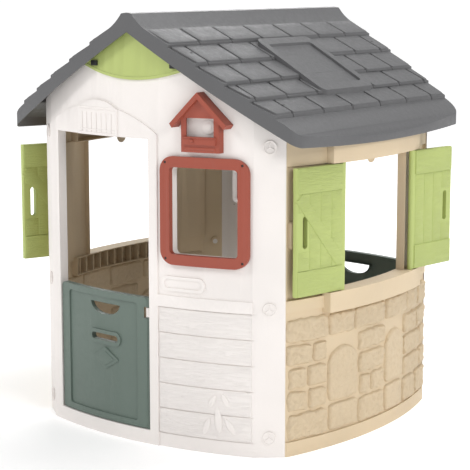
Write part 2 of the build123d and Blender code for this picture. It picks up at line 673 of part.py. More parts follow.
with BuildSketch(Plane.XZ) as bird_body:
    with BuildLine():
        Polyline((BIRD_X - BIRD_W / 2, BIRD_FLOOR), (BIRD_X + BIRD_W / 2, BIRD_FLOOR),
                 (BIRD_X + BIRD_W / 2, BIRD_EAVE), (BIRD_X, BIRD_APEX - BIRD_ROOF_THICK),
                 (BIRD_X - BIRD_W / 2, BIRD_EAVE), (BIRD_X - BIRD_W / 2, BIRD_FLOOR))
    make_face()
bird_rise = (BIRD_APEX - BIRD_ROOF_THICK - BIRD_EAVE) / (BIRD_W / 2)
with BuildSketch(Plane.XZ) as bird_roof:
    with BuildLine():
        Polyline((BIRD_X - BIRD_ROOF_HALF, BIRD_APEX - BIRD_ROOF_HALF * bird_rise),
                 (BIRD_X, BIRD_APEX), (BIRD_X + BIRD_ROOF_HALF, BIRD_APEX - BIRD_ROOF_HALF * bird_rise),
                 (BIRD_X + BIRD_ROOF_HALF - 8, BIRD_APEX - BIRD_ROOF_HALF * bird_rise - 12),
                 (BIRD_X, BIRD_APEX - BIRD_ROOF_THICK - 4),
                 (BIRD_X - BIRD_ROOF_HALF + 8, BIRD_APEX - BIRD_ROOF_HALF * bird_rise - 12),
                 (BIRD_X - BIRD_ROOF_HALF, BIRD_APEX - BIRD_ROOF_HALF * bird_rise))
    make_face()
bird_hatch = front_panel(BIRD_X - BIRD_W / 2 + 16, BIRD_X + BIRD_W / 2 - 16, BIRD_FLOOR + 48, BIRD_EAVE + 2)
bird_tray = front_panel(BIRD_X - BIRD_W / 2 + 8, BIRD_X + BIRD_W / 2 - 8, BIRD_FLOOR + 24, BIRD_FLOOR + 48)
bird_core = front_panel(BIRD_X - BIRD_W / 2 + SKIN, BIRD_X + BIRD_W / 2 - SKIN, BIRD_FLOOR + SKIN,
                        BIRD_EAVE)

with BuildPart() as front_birdhouse:
    add(on_gable(bird_body.sketch, 0, BIRD_DEPTH))
    add(on_gable(bird_core, -BITE, BIRD_DEPTH - SKIN), mode=Mode.SUBTRACT)
    add(on_gable(bird_tray, BIRD_DEPTH - 2 * SKIN, BIRD_DEPTH + 2 * SKIN))
    extrude(bird_hatch, amount=REACH, mode=Mode.SUBTRACT)
    add(on_gable(bird_roof.sketch, BITE, BIRD_ROOF_DEPTH))
    for x, z in bird_screw_places:
        with Locations(facing_front(x, z, BIRD_DEPTH / 2)):
            Cylinder(2 * SCREW_R, BIRD_DEPTH - SKIN)
        with Locations(facing_front(x, z, 0)):
            Cylinder(SCREW_R, BIRD_DEPTH, mode=Mode.SUBTRACT)
save(front_birdhouse.part, "front_birdhouse")
save(half_turn(front_birdhouse.part), "back_birdhouse")

# ---------------------------------------------------------------- half door

leaf_outline = front_panel(LEAF_LEFT, DOOR_AXIS_X, LEAF_BOTTOM, LEAF_TOP, 12)
leaf_pocket = front_panel(LEAF_LEFT + SKIN, DOOR_AXIS_X - BARREL_R - SKIN, LEAF_BOTTOM + SKIN, LEAF_TOP - SKIN, 9)
leaf_panel = front_panel(LEAF_LEFT + LEAF_RIM, DOOR_AXIS_X - LEAF_RIM, LEAF_BOTTOM + LEAF_RIM / 2,
                         LEAF_TOP - LEAF_RIM / 2, 10)
leaf_slot = front_panel(SLOT_X - SLOT_W / 2, SLOT_X + SLOT_W / 2, SLOT_Z - SLOT_H / 2, SLOT_Z + SLOT_H / 2,
                        SLOT_H / 2 - 1)
leaf_slot_rim = front_panel(SLOT_X - SLOT_W / 2 - SLOT_RIM, SLOT_X + SLOT_W / 2 + SLOT_RIM,
                            SLOT_Z - SLOT_H / 2 - SLOT_RIM, SLOT_Z + SLOT_H / 2 + SLOT_RIM,
                            SLOT_H / 2 + SLOT_RIM - 1)


def half_ellipse(margin):
    """Outline of the grip hole, a smile under the top rail, made larger by margin."""
    with BuildSketch(Plane.XZ) as smile:
        with Locations((SLOT_X, GRIP_TOP)):
            Ellipse(GRIP_W / 2 + margin, GRIP_H + margin)
        with Locations((SLOT_X, GRIP_TOP + margin + GRIP_H)):
            Rectangle(2 * GRIP_W, 2 * GRIP_H, mode=Mode.SUBTRACT)
    return smile.sketch


with BuildSketch(Plane.XZ) as leaf_collars:
    add(half_ellipse(SKIN))
    add(leaf_slot_rim)
with BuildSketch(Plane.XZ) as leaf_ribs:
    with Locations((DOOR_MID, (LEAF_BOTTOM + SLOT_Z) / 2)):
        with GridLocations(100, 0, 3, 1):
            Rectangle(SKIN, SLOT_Z - LEAF_BOTTOM)
    with Locations((DOOR_MID, SLOT_Z - 2 * LEAF_RIM)):
        Rectangle(DOOR_RIGHT - DOOR_LEFT - LEAF_RIM, SKIN)
clip_place = (DOOR_AXIS_X, DOOR_AXIS_Y, CLIP_BOTTOM + CLIP_HEIGHT / 2)

with BuildPart() as front_door:
    add(on_gable(leaf_outline, -LEAF_THICK, 0))
    add(on_gable(leaf_pocket, -2 * LEAF_THICK, -SKIN - PANEL_RECESS), mode=Mode.SUBTRACT)
    add(on_gable(leaf_panel, -PANEL_RECESS, RETURN), mode=Mode.SUBTRACT)
    add(on_gable(leaf_slot_rim, -PANEL_RECESS - BITE, 0))
    add(on_gable(leaf_collars.sketch, -LEAF_THICK + BITE, -PANEL_RECESS - 2 * BITE))
    add(on_gable(leaf_ribs.sketch, -LEAF_THICK + 2 * BITE, -PANEL_RECESS - 3 * BITE))
    extrude(leaf_slot, amount=REACH, mode=Mode.SUBTRACT)
    extrude(half_ellipse(0), amount=REACH, mode=Mode.SUBTRACT)
    # the hinge edge is a barrel, cut away where the wall's clip holds the pin
    with Locations((DOOR_AXIS_X, DOOR_AXIS_Y, (BASE_TOP + GAP + LEAF_TOP) / 2)):
        Cylinder(BARREL_R, LEAF_TOP - BASE_TOP - GAP)
    with Locations(clip_place):
        Cylinder(BARREL_R + 2 * SKIN, CLIP_HEIGHT + 2 * LEAF_GAP_BOTTOM, mode=Mode.SUBTRACT)
        Cylinder(PIN_R, CLIP_HEIGHT + 4 * LEAF_GAP_BOTTOM)
    with Locations((DOOR_AXIS_X, DOOR_AXIS_Y, BASE_TOP - PIN_DEPTH / 2 + BITE)):
        Cylinder(PIN_R, PIN_DEPTH + 2 * BITE)
save(front_door.part, "front_door")
save(half_turn(front_door.part), "back_door")

# the clip is pegged to the door post and holds the upper door pin
with BuildPart() as front_door_clip:
    with Locations(clip_place):
        Cylinder(CLIP_R, CLIP_HEIGHT)
        with Locations(((DOOR_RIGHT - DOOR_AXIS_X) / 2, 0, 0)):
            Box(DOOR_RIGHT - DOOR_AXIS_X, 1.5 * CLIP_R, CLIP_HEIGHT)
        Cylinder(PIN_R + PIN_CLEARANCE, 2 * CLIP_HEIGHT, mode=Mode.SUBTRACT)
save(front_door_clip.part, "front_door_clip")
save(half_turn(front_door_clip.part), "back_door_clip")

# ---------------------------------------------------------------- roof


def roof_profile(drop):
    """Cross-section of the right roof half in the XZ plane, its upper side lowered by drop."""
    with BuildSketch(Plane.XZ) as profile:
        with BuildLine():
            points = [(RIDGE_FLARE, roof_under(RIDGE_FLARE) + TILE_BASE + TILE_LIFT / 2 - drop)]
            for end in COURSE_ENDS:
                edge = end - drop
                points.append((edge, roof_under(edge) + TILE_BASE + TILE_LIFT - drop))
                points.append((edge, roof_under(edge) + TILE_BASE - drop))
            Polyline(*points)
            shoulder = EAVE_X - EAVE_TURN
            brow = (EAVE_X - drop, roof_under(EAVE_X) + TILE_BASE - EAVE_FALL)
            roll = (RIDGE_ROLL, RIDGE_TOP - RIDGE_CROWN - drop)
            ThreePointArc(points[-1], (shoulder - drop / 2, roof_under(shoulder) + TILE_BASE - EAVE_SOFTEN - drop),
                          brow)
            Polyline(brow, (EAVE_X - drop, 0), (drop, 0), (drop, RIDGE_TOP - drop), roll)
            ThreePointArc(roll, (RIDGE_ROLL + 14, RIDGE_TOP - 20 - drop), points[0])
        make_face()
    return profile.sketch


def roof_outline(inset):
    """Plan of the right roof half, with bowed ends and a bowed eave, made smaller by inset."""
    with BuildSketch() as outline:
        with Locations((EAVE_X / 2, 0)):
            Rectangle(EAVE_X - 2 * inset, 2 * ROOF_END_Y)
        for end in (-1, 1):
            with Locations((0, end * (ROOF_END_Y - ROOF_END_R))):
                Circle(ROOF_END_R - inset, mode=Mode.INTERSECT)
        with Locations((EAVE_X - EAVE_R, 0)):
            Circle(EAVE_R - inset, mode=Mode.INTERSECT)
        fillet(outline.vertices().group_by(Axis.X)[-1], EAVE_CORNER - inset)
    return outline.sketch


with BuildPart() as roof_inside:
    with BuildSketch(Plane.XZ.offset(-REACH)):
        add(roof_profile(ROOF_SKIN))
    extrude(amount=2 * REACH)
    extrude(roof_outline(SKIN), amount=TOP, mode=Mode.INTERSECT)

# narrow gaps part the tiles of a course, half a tile out of step from one course to the next
tile_pitch = 2 * ROOF_END_Y / TILES_PER_COURSE
with BuildSketch() as tile_gaps:
    for row, (start, end) in enumerate(zip((RIDGE_FLARE, *COURSE_ENDS), COURSE_ENDS)):
        with Locations(((start + end + TILE_GAP) / 2, 0)):
            with GridLocations(0, tile_pitch, 1, TILES_PER_COURSE - 1 + row % 2):
                Rectangle(end - start - TILE_GAP, TILE_GAP)
with BuildPart() as tile_grooves:
    with BuildSketch(Plane.XZ.offset(-REACH)):
        add(roof_profile(0))
        add(roof_profile(TILE_GAP_DEPTH), mode=Mode.SUBTRACT)
    extrude(amount=2 * REACH)
    extrude(tile_gaps.sketch, amount=TOP, mode=Mode.INTERSECT)

with BuildPart() as roof_blank:
    with BuildSketch(Plane.XZ.offset(-REACH)):
        add(roof_profile(0))
    extrude(amount=2 * REACH)
    add(tile_grooves.part, mode=Mode.SUBTRACT)
    extrude(roof_outline(0), amount=TOP, mode=Mode.INTERSECT)
    with BuildSketch(Plane.XZ.offset(-REACH)):
        with BuildLine():
            Polyline((0, 0), (0, RIDGE_UNDER), (REACH, roof_under(REACH)), (REACH, 0), (0, 0))
        make_face()
    extrude(amount=2 * REACH, mode=Mode.SUBTRACT)


def between(outline, low, high):
    """The part of an upright prism that lies between two heights above the underside line."""
    with BuildPart() as slab:
        extrude(outline, amount=TOP)
        add(under_roof(high), mode=Mode.INTERSECT)
        add(under_roof(low), mode=Mode.SUBTRACT)
    return slab.part


def roof_panel(start, end, half, corner):
    """A round-cornered rectangle in plan on the right roof half."""
    return panel(Plane.XY, start, end, -half, half, corner)


def skylight_panel(inset):
    """Plan of the skylight, made smaller by inset."""
    return roof_panel(SKYLIGHT_START + inset, SKYLIGHT_END - inset, SKYLIGHT_HALF - inset,
                      SKYLIGHT_CORNER - min(inset, SKYLIGHT_CORNER) / 2)


sky_top = TILE_BASE + SKYLIGHT_RISE
sky_floor = sky_top - SKYLIGHT_SINK
roof_screw_places = [(x, end * y) for x, y in ((ROOF_SCREW_X[0], -gable_y(ROOF_SCREW_X[0], ROOF_SCREW_INSET)),
                                               (ROOF_SCREW_X[1], POST_Y - ROOF_SCREW_INSET))
                     for end in (-1, 1)]

with BuildPart() as right_roof:
    add(roof_blank.part)
    add(roof_inside.part, mode=Mode.SUBTRACT)
    # a raised skylight with a sunken pane, moulded in one with the roof
    add(between(skylight_panel(0), TILE_BASE - 2 * BITE, sky_top))
    add(between(skylight_panel(SKIN), 0, sky_top - ROOF_SKIN), mode=Mode.SUBTRACT)
    add(between(skylight_panel(SKYLIGHT_BORDER - SKIN), sky_floor - ROOF_SKIN, sky_top - BITE))
    add(between(skylight_panel(SKYLIGHT_BORDER), sky_floor, sky_top + RETURN), mode=Mode.SUBTRACT)
    # screw cups stand on the wall bosses
    for x, y in roof_screw_places:
        with BuildSketch(mode=Mode.PRIVATE) as cup:
            with Locations((x, y)):
                Circle(CUP_R)
        add(between(cup.sketch, WALL_RISE + GAP, TILE_BASE + TILE_LIFT / 2))
        with Locations((x, y, roof_under(x) + WALL_RISE + CUP_FLOOR + RETURN / 2)):
            Cylinder(SCREW_HEAD_R + 2, RETURN, mode=Mode.SUBTRACT)
            Cylinder(SCREW_R + GAP, 4 * RETURN, mode=Mode.SUBTRACT)
    for y in RIDGE_BOLT_Y:
        with Locations(Plane(origin=(0, y, RIDGE_TOP - RIDGE_BOLT_DROP), z_dir=(1, 0, 0))):
            Cylinder(RIDGE_BOLT_R + GAP, 4 * ROOF_SKIN, mode=Mode.SUBTRACT)
    # the flange under the ridge leaves room for the gable walls
    flange_gap = GABLE_FACE + 3 * RELIEF - POST_Y
    for end in (-1, 1):
        with Locations((0, end * (POST_Y + flange_gap / 2), RIDGE_UNDER)):
            Box(4 * ROOF_SKIN, flange_gap, 2 * (WALL_RISE + GAP), mode=Mode.SUBTRACT)
save(right_roof.part, "right_roof")
save(half_turn(right_roof.part), "left_roof")

# ---------------------------------------------------------------- fasteners

with BuildPart() as corner_screws:
    for side in (-1, 1):
        for end in (-1, 1):
            for height in CORNER_SCREW_Z:
                with Locations(corner_place(side, end, height)):
                    with Locations((0, 0, CAP_THICK / 2)):
                        Cylinder(CAP_R, CAP_THICK)
                    with Locations((0, 0, -NUT_THICK / 2 - SKIN)):
                        Cylinder(BOLT_R, NUT_THICK + 2 * SKIN)
                    with Locations((0, 0, CAP_THICK)):
                        Cylinder(CAP_R - SKIN, 2 * CAP_RECESS, mode=Mode.SUBTRACT)
                    with Locations((0, 0, CAP_THICK / 2)):
                        with PolarLocations(CAP_R / 3, 3):
                            Box(2 * CAP_R / 3, SKIN, CAP_THICK)
save(corner_screws.part, "corner_screws")

with BuildPart() as corner_nuts:
    for side in (-1, 1):
        for end in (-1, 1):
            for height in CORNER_SCREW_Z:
                with Locations(corner_place(side, end, height, -2 * SKIN - NUT_THICK / 2)):
                    Cylinder(NUT_R, NUT_THICK)
                    Cylinder(BOLT_R, NUT_THICK, mode=Mode.SUBTRACT)
save(corner_nuts.part, "corner_nuts")

with BuildPart() as roof_screws:
    for x, y in roof_screw_places:
        for turn in (1, -1):
            with Locations((turn * x, turn * y, roof_under(x) + WALL_RISE + CUP_FLOOR)):
                with Locations((0, 0, SCREW_HEAD / 2)):
                    Cylinder(SCREW_HEAD_R, SCREW_HEAD)
                with Locations((0, 0, -SCREW_LENGTH / 2)):
                    Cylinder(SCREW_R, SCREW_LENGTH)
save(roof_screws.part, "roof_screws")

with BuildPart() as ridge_bolts:
    for y in RIDGE_BOLT_Y:
        with Locations(Plane(origin=(0, y, RIDGE_TOP - RIDGE_BOLT_DROP), z_dir=(1, 0, 0))):
            Cylinder(RIDGE_BOLT_R, 2 * ROOF_SKIN)
            for side in (-1, 1):
                with Locations((0, 0, side * (ROOF_SKIN + SCREW_HEAD / 2))):
                    Cylinder(RIDGE_HEAD_R, SCREW_HEAD)
save(ridge_bolts.part, "ridge_bolts")

with BuildPart() as half_frame_screws:
    for x, z in frame_screw_places:
        with Locations(facing_front(x, z, FRAME_PROUD - SCREW_HEAD / 2)):
            Cylinder(SMALL_HEAD_R, SCREW_HEAD)
        with Locations(facing_front(x, z, FRAME_PROUD / 2 - SKIN)):
            Cylinder(SMALL_SCREW_R, FRAME_PROUD + SKIN)
save(both_ends(half_frame_screws.part), "window_frame_screws")

with BuildPart() as half_bird_screws:
    for x, z in bird_screw_places:
        with Locations(facing_front(x, z, -SKIN - SCREW_HEAD / 2 - 1.5 * BITE)):
            Cylinder(2 * SCREW_R, SCREW_HEAD)
        with Locations(facing_front(x, z, (BIRD_DEPTH / 2 - 2 * SKIN) / 2)):
            Cylinder(SCREW_R, BIRD_DEPTH / 2 + 2 * SKIN)
save(both_ends(half_bird_screws.part), "birdhouse_screws")

# black clips hook over the gable insert just under the roof
clip_z = roof_under(CLIP_X) - CLIP_H / 2
with BuildPart() as half_clips:
    for side in (-1, 1):
        x = side * CLIP_X
        add(on_gable(front_panel(x - CLIP_W / 2, x + CLIP_W / 2, clip_z - CLIP_H / 2, clip_z + CLIP_H / 2, 3),
                     GABLE_PROUD + GAP, GABLE_PROUD + CLIP_THICK))
save(both_ends(half_clips.part), "gable_clips")
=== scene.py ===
"""Looks of the plastic garden playhouse: softened mouldings, stonework, boards, tiles and finishes."""

import json
import random
from math import atan2, radians, sqrt

import bmesh
import bpy
from bpy.props import FloatProperty, FloatVectorProperty, IntProperty, PointerProperty
from mathutils import Matrix, Vector, noise


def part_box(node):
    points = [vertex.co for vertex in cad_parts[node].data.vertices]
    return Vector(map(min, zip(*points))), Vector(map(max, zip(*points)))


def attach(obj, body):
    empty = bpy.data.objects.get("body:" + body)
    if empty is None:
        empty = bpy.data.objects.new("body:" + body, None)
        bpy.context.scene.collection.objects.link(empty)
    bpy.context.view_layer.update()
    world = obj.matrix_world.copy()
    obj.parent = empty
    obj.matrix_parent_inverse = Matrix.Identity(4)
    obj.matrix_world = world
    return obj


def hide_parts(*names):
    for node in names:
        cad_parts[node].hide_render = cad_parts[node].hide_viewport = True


bl_info = {
    "name": "Garden Playhouse",
    "version": (1, 0, 0),
    "blender": (4, 5, 0),
    "location": "3D View > Sidebar > Playhouse",
    "description": "Builds the finished look of a moulded plastic playhouse on its packed frame",
    "category": "Object",
}

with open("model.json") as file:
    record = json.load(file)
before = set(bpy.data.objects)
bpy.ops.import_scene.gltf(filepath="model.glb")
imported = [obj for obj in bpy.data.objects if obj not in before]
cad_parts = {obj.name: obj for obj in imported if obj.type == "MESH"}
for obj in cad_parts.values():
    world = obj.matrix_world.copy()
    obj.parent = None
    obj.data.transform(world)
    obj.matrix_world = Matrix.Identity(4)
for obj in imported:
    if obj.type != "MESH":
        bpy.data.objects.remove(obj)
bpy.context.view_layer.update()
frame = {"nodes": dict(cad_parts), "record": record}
NODES = tuple(frame["nodes"])

# ---------------------------------------------------------------- sizes of the frame, in metres

FRONT_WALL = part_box("front_wall")
HOUSE_X = (FRONT_WALL[0].x + FRONT_WALL[1].x) / 2
GABLE_HALF = 0.408
GABLE_BOW = 0.072
GABLE_FACE = 0.559
GABLE_R = (GABLE_HALF**2 + GABLE_BOW**2) / (2 * GABLE_BOW)
SIDE_END = 0.430
SIDE_BOW = 0.070
SIDE_FACE = 0.549
SIDE_R = (SIDE_END**2 + SIDE_BOW**2) / (2 * SIDE_BOW)
PLINTH_TOP = 0.045
RIDGE_UNDER = 1.296
ROOF_SLOPE = 0.58
TILE_BASE = 0.0453
TILE_LIFT = 0.010
TILE_STARTS = (0.070, 0.155, 0.251, 0.346, 0.425)
TILE_ENDS = (0.155, 0.251, 0.346, 0.425, 0.502)
ROOF_END_Y = 0.588
ROOF_END_HALF = 0.500
ROOF_END_BOW = 0.072
ROOF_END_R = (ROOF_END_HALF**2 + ROOF_END_BOW**2) / (2 * ROOF_END_BOW)
DOOR_MID = -0.150
SURROUND_RIGHT = 0.092
PLANK_TOP = 0.450
HINGE_X = 0.5475
HINGE_Y = 0.212
SHUTTER_W = 0.209
SHUTTER_H = 0.394
SHUTTER_MID = 0.700
SHUTTER_HALF = 0.009
BATTEN_H = 0.078

# finish: colour, mean roughness, grain depth
FINISHES = {
    "white": ("white_colour", 0.50, 0.00010),
    "sand": ("sand_colour", 0.55, 0.00016),
    "lime": ("lime_colour", 0.46, 0.00010),
    "slate": ("slate_colour", 0.40, 0.00016),
    "sage": ("sage_colour", 0.46, 0.00014),
    "terracotta": ("terracotta_colour", 0.42, 0.00008),
    "black": ("black_colour", 0.40, 0.00006),
}


class PlayhouseSizes(bpy.types.PropertyGroup):
    """Sizes of the raised detail."""

    edge_soft: FloatProperty(name="Edge softness", description="Rounding of the mouldings' edges",
                             default=0.0012, unit="LENGTH")
    stone_rise: FloatProperty(name="Stone rise", description="How far the stones stand out of the side walls",
                              default=0.0098, unit="LENGTH")
    stone_rough: FloatProperty(name="Stone roughness", description="Height of the chisel marks",
                               default=0.0042, unit="LENGTH")
    board_rise: FloatProperty(name="Board rise", description="How far the shutters' boards stand out",
                              default=0.0016, unit="LENGTH")
    board_gap: FloatProperty(name="Board gap", description="Groove between two boards",
                             default=0.003, unit="LENGTH")
    plank_rise: FloatProperty(name="Plank rise", description="Lower edge of each lapped plank",
                              default=0.0045, unit="LENGTH")
    tile_rise: FloatProperty(name="Tile rise", description="Thickness of the roof tiles' upper layer",
                             default=0.0055, unit="LENGTH")
    tile_gap: FloatProperty(name="Tile gap", description="Groove between two tiles",
                            default=0.010, unit="LENGTH")
    tiles: IntProperty(name="Tiles", description="Tiles in a full course", default=7)


class PlayhouseColours(bpy.types.PropertyGroup):
    """Colours of the plastics."""

    white_colour: FloatVectorProperty(name="White", description="Gable walls", subtype="COLOR", size=3,
                                      default=(0.82, 0.775, 0.745))
    sand_colour: FloatVectorProperty(name="Sand", description="Side walls", subtype="COLOR", size=3,
                                     default=(0.66, 0.53, 0.36))
    lime_colour: FloatVectorProperty(name="Lime", description="Shutters and gable inserts", subtype="COLOR",
                                     size=3, default=(0.43, 0.50, 0.165))
    slate_colour: FloatVectorProperty(name="Slate", description="Roof", subtype="COLOR", size=3,
                                      default=(0.105, 0.105, 0.108))
    sage_colour: FloatVectorProperty(name="Sage", description="Half doors", subtype="COLOR", size=3,
                                     default=(0.125, 0.165, 0.14))
    terracotta_colour: FloatVectorProperty(name="Terracotta", description="Window frames and bird houses",
                                           subtype="COLOR", size=3, default=(0.32, 0.07, 0.042))
    black_colour: FloatVectorProperty(name="Black", description="Clips and screws", subtype="COLOR", size=3,
                                      default=(0.02, 0.02, 0.02))


def sizes():
    """The size settings of the open scene."""
    return bpy.context.scene.playhouse_sizes


def colours():
    """The colour settings of the open scene."""
    return bpy.context.scene.playhouse_colours


# ---------------------------------------------------------------- materials


class Nodes:
    """Short words for building a material's node tree."""

    def __init__(self, name):
        old = bpy.data.materials.get(name)
        self.material = old or bpy.data.materials.new(name)
        self.material.use_nodes = True
        self.tree = self.material.node_tree
        self.tree.nodes.clear()
        self.shader = self.make("ShaderNodeBsdfPrincipled")
        output = self.make("ShaderNodeOutputMaterial")
        self.link(self.shader.outputs["BSDF"], output.inputs["Surface"])
        self.coords = self.make("ShaderNodeTexCoord").outputs["Object"]

    def make(self, kind, **settings):
        """One node with its settings."""
        node = self.tree.nodes.new(kind)
        for key, value in settings.items():
            setattr(node, key, value)
        return node

    def link(self, source, target):
        """Join two sockets."""
        self.tree.links.new(source, target)

    def noise(self, scale, detail=2.0, stretch=None, rough=0.5):
        """A noise pattern, optionally stretched along the axes."""
        pattern = self.make("ShaderNodeTexNoise")
        pattern.inputs["Scale"].default_value = scale
        pattern.inputs["Detail"].default_value = detail
        pattern.inputs["Roughness"].default_value = rough
        source = self.coords
        if stretch:
            mapping = self.make("ShaderNodeMapping")
            mapping.inputs["Scale"].default_value = stretch
            self.link(source, mapping.inputs["Vector"])
            source = mapping.outputs["Vector"]
        self.link(source, pattern.inputs["Vector"])
        return pattern.outputs["Fac"]

    def remap(self, source, low, high, start=0.3, end=0.7):
        """Stretch a pattern from start..end to low..high."""
        node = self.make("ShaderNodeMapRange")
        for key, value in (("From Min", start), ("From Max", end), ("To Min", low), ("To Max", high)):
            node.inputs[key].default_value = value
        self.link(source, node.inputs["Value"])
        return node.outputs["Result"]

    def mix(self, factor, first, second, blend="MIX"):
        """Mix two colours, each a socket or a value."""
        node = self.make("ShaderNodeMix", data_type="RGBA", blend_type=blend)
        for value, socket in ((factor, node.inputs[0]), (first, node.inputs[6]), (second, node.inputs[7])):
            if hasattr(value, "is_output"):
                self.link(value, socket)
            else:
                socket.default_value = value
        return node.outputs[2]

    def add(self, *sources):
        """Sum of several patterns."""
        total = sources[0]
        for source in sources[1:]:
            node = self.make("ShaderNodeMath", operation="ADD")
            self.link(total, node.inputs[0])
            self.link(source, node.inputs[1])
            total = node.outputs[0]
        return total

    def bump(self, height, depth, strength=1.0):
        """Bump the surface by a pattern."""
        node = self.make("ShaderNodeBump")
        node.inputs["Distance"].default_value = depth
        node.inputs["Strength"].default_value = strength
        self.link(height, node.inputs["Height"])
        self.link(node.outputs["Normal"], self.shader.inputs["Normal"])


def rgba(colour, factor=1.0):
    """A colour with alpha, made lighter or darker."""
    return (*(min(1.0, c * factor) for c in colour), 1.0)


WOOD_GRAIN_DEPTH = 0.00022
WOOD_GRAIN_LINES = 34.0
STONE_CHIP_DEPTH = 0.0005
PLASTIC_IOR = 1.49
PLASTIC_SPECULAR = 0.42


def plastic(name, finish, wood=False, stone=False):
    """Moulded plastic with a fine grain, slight cloudiness and faint pale scuffs."""
    setting, rough, grain_depth = FINISHES[finish]
    colour = getattr(colours(), setting)
    tree = Nodes(name)
    cloud = tree.remap(tree.noise(3.0, 3.0), 0.0, 1.0)
    body = tree.mix(cloud, rgba(colour, 0.95), rgba(colour, 1.04))
    speck = tree.remap(tree.noise(420.0, 1.0), 0.0, 0.10, 0.45, 0.8)
    body = tree.mix(speck, body, rgba(colour, 0.80))
    scuff = tree.remap(tree.noise(24.0, 6.0, (1.0, 1.0, 0.35), 0.65), 0.0, 0.16, 0.60, 0.75)
    body = tree.mix(scuff, body, rgba([0.6 * c + 0.25 * max(colour) for c in colour]))
    fine = tree.noise(900.0, 2.0)
    height = tree.remap(fine, 0.0, 1.0)
    depth = grain_depth
    if wood:
        grain = tree.noise(22.0, 5.0, (0.22, 0.22, 5.0), 0.6)
        knots = tree.noise(9.0, 1.0, (0.5, 0.5, 1.6))
        streak = tree.make("ShaderNodeMath", operation="SINE")
        scaled = tree.make("ShaderNodeMath", operation="MULTIPLY")
        tree.link(tree.add(grain, knots), scaled.inputs[0])
        scaled.inputs[1].default_value = WOOD_GRAIN_LINES
        tree.link(scaled.outputs[0], streak.inputs[0])
        lines = tree.remap(streak.outputs[0], 0.0, 2.2, -0.2, 1.0)
        height = tree.add(height, lines)
        body = tree.mix(tree.remap(lines, 0.0, 0.035, 0.0, 2.2), body, rgba(colour, 0.72))
        depth = WOOD_GRAIN_DEPTH
    if stone:
        chips = tree.noise(70.0, 7.0, None, 0.62)
        chisel = tree.noise(26.0, 4.0, (1.0, 1.0, 0.35), 0.6)
        height = tree.add(height, tree.remap(chips, 0.0, 5.0), tree.remap(chisel, 0.0, 4.0))
        # darker where the chips' bump is low, in its hollows: painted shade
        pit_shade = tree.remap(chips, 0.28, 0.0, 0.34, 0.52)
        body = tree.mix(pit_shade, body, rgba((colour[0] * 0.80, colour[1] * 0.74, colour[2] * 0.66)))
        depth = STONE_CHIP_DEPTH
    tree.link(body, tree.shader.inputs["Base Color"])
    sheen = tree.remap(tree.noise(60.0, 3.0), rough - 0.06, rough + 0.08)
    tree.link(sheen, tree.shader.inputs["Roughness"])
    tree.shader.inputs["IOR"].default_value = PLASTIC_IOR
    tree.shader.inputs["Specular IOR Level"].default_value = PLASTIC_SPECULAR
    tree.bump(height, depth)
    return tree.material


MATERIALS = {}


def material(key):
    """The material of a finish, made once; a word after a dot adds wood grain or stone."""
    if key not in MATERIALS:
        finish, _, pattern = key.partition(".")
        MATERIALS[key] = plastic("playhouse " + key.replace(".", " "), finish, pattern == "wood",
                                 pattern == "stone")
    return MATERIALS[key]


# ---------------------------------------------------------------- mesh helpers


def house_side(co, side):
    """A point (along Y, height, out of the wall) put on the right side wall, or turned to the left one."""
    x = sqrt((SIDE_R + co.z)**2 - co.x**2) - (SIDE_R - SIDE_FACE)
    return Vector((HOUSE_X + side * x, side * co.x, co.y))


def house_gable(co, side):
    """A point (along X, height, out of the wall) put on the front gable, or turned to the back one."""
    y = (GABLE_R - GABLE_FACE) - sqrt((GABLE_R + co.z)**2 - co.x**2)
    return Vector((HOUSE_X + side * co.x, side * y, co.y))


def roof_end(x):
    """Y of the roof's bowed end at a distance from the ridge."""
    return ROOF_END_Y - ROOF_END_R + sqrt(ROOF_END_R**2 - x**2)


def join(target, source):
    """Move everything of one bmesh into another."""
    mesh = bpy.data.meshes.new("step")
    source.to_mesh(mesh)
    source.free()
    target.from_mesh(mesh)
    bpy.data.meshes.remove(mesh)


def cut_across(bm, low, high, step, axis=0):
    """Divide a mesh by upright planes, so that it can bend."""
    count = int((high - low) / step)
    for index in range(1, count + 1):
        place = low + (high - low) * index / (count + 1)
        centre = [0.0, 0.0, 0.0]
        normal = [0.0, 0.0, 0.0]
        centre[axis] = place
        normal[axis] = 1.0
        bmesh.ops.bisect_plane(bm, geom=bm.verts[:] + bm.edges[:] + bm.faces[:], plane_co=centre,
                               plane_no=normal)


def slab(left, right, low, high, back, front, corner=0.0, soft=0.001, step=0.03, taper=0.0):
    """A soft-edged slab: left..right, low..high and back..front; taper thins its upper edge."""
    bm = bmesh.new()
    bmesh.ops.create_cube(bm, size=1.0)
    bmesh.ops.scale(bm, vec=(right - left, high - low, front - back), verts=bm.verts)
    middle = ((left + right) / 2, (low + high) / 2, (back + front) / 2)
    bmesh.ops.translate(bm, vec=middle, verts=bm.verts)
    if corner:
        uprights = [e for e in bm.edges if abs(e.verts[0].co.z - e.verts[1].co.z) > (front - back) / 2]
        bmesh.ops.bevel(bm, geom=uprights, offset=corner, segments=5, profile=0.5, affect="EDGES",
                        material=-1)
    if soft:
        rim = [e for e in bm.edges if all(v.co.z > front - 1e-6 for v in e.verts)]
        bmesh.ops.bevel(bm, geom=rim, offset=soft, segments=2, profile=0.5, affect="EDGES", material=-1)
    if taper:
        for vert in bm.verts:
            if vert.co.z > middle[2]:
                vert.co.z -= taper * (vert.co.y - low) / (high - low)
    cut_across(bm, left, right, step)
    return bm


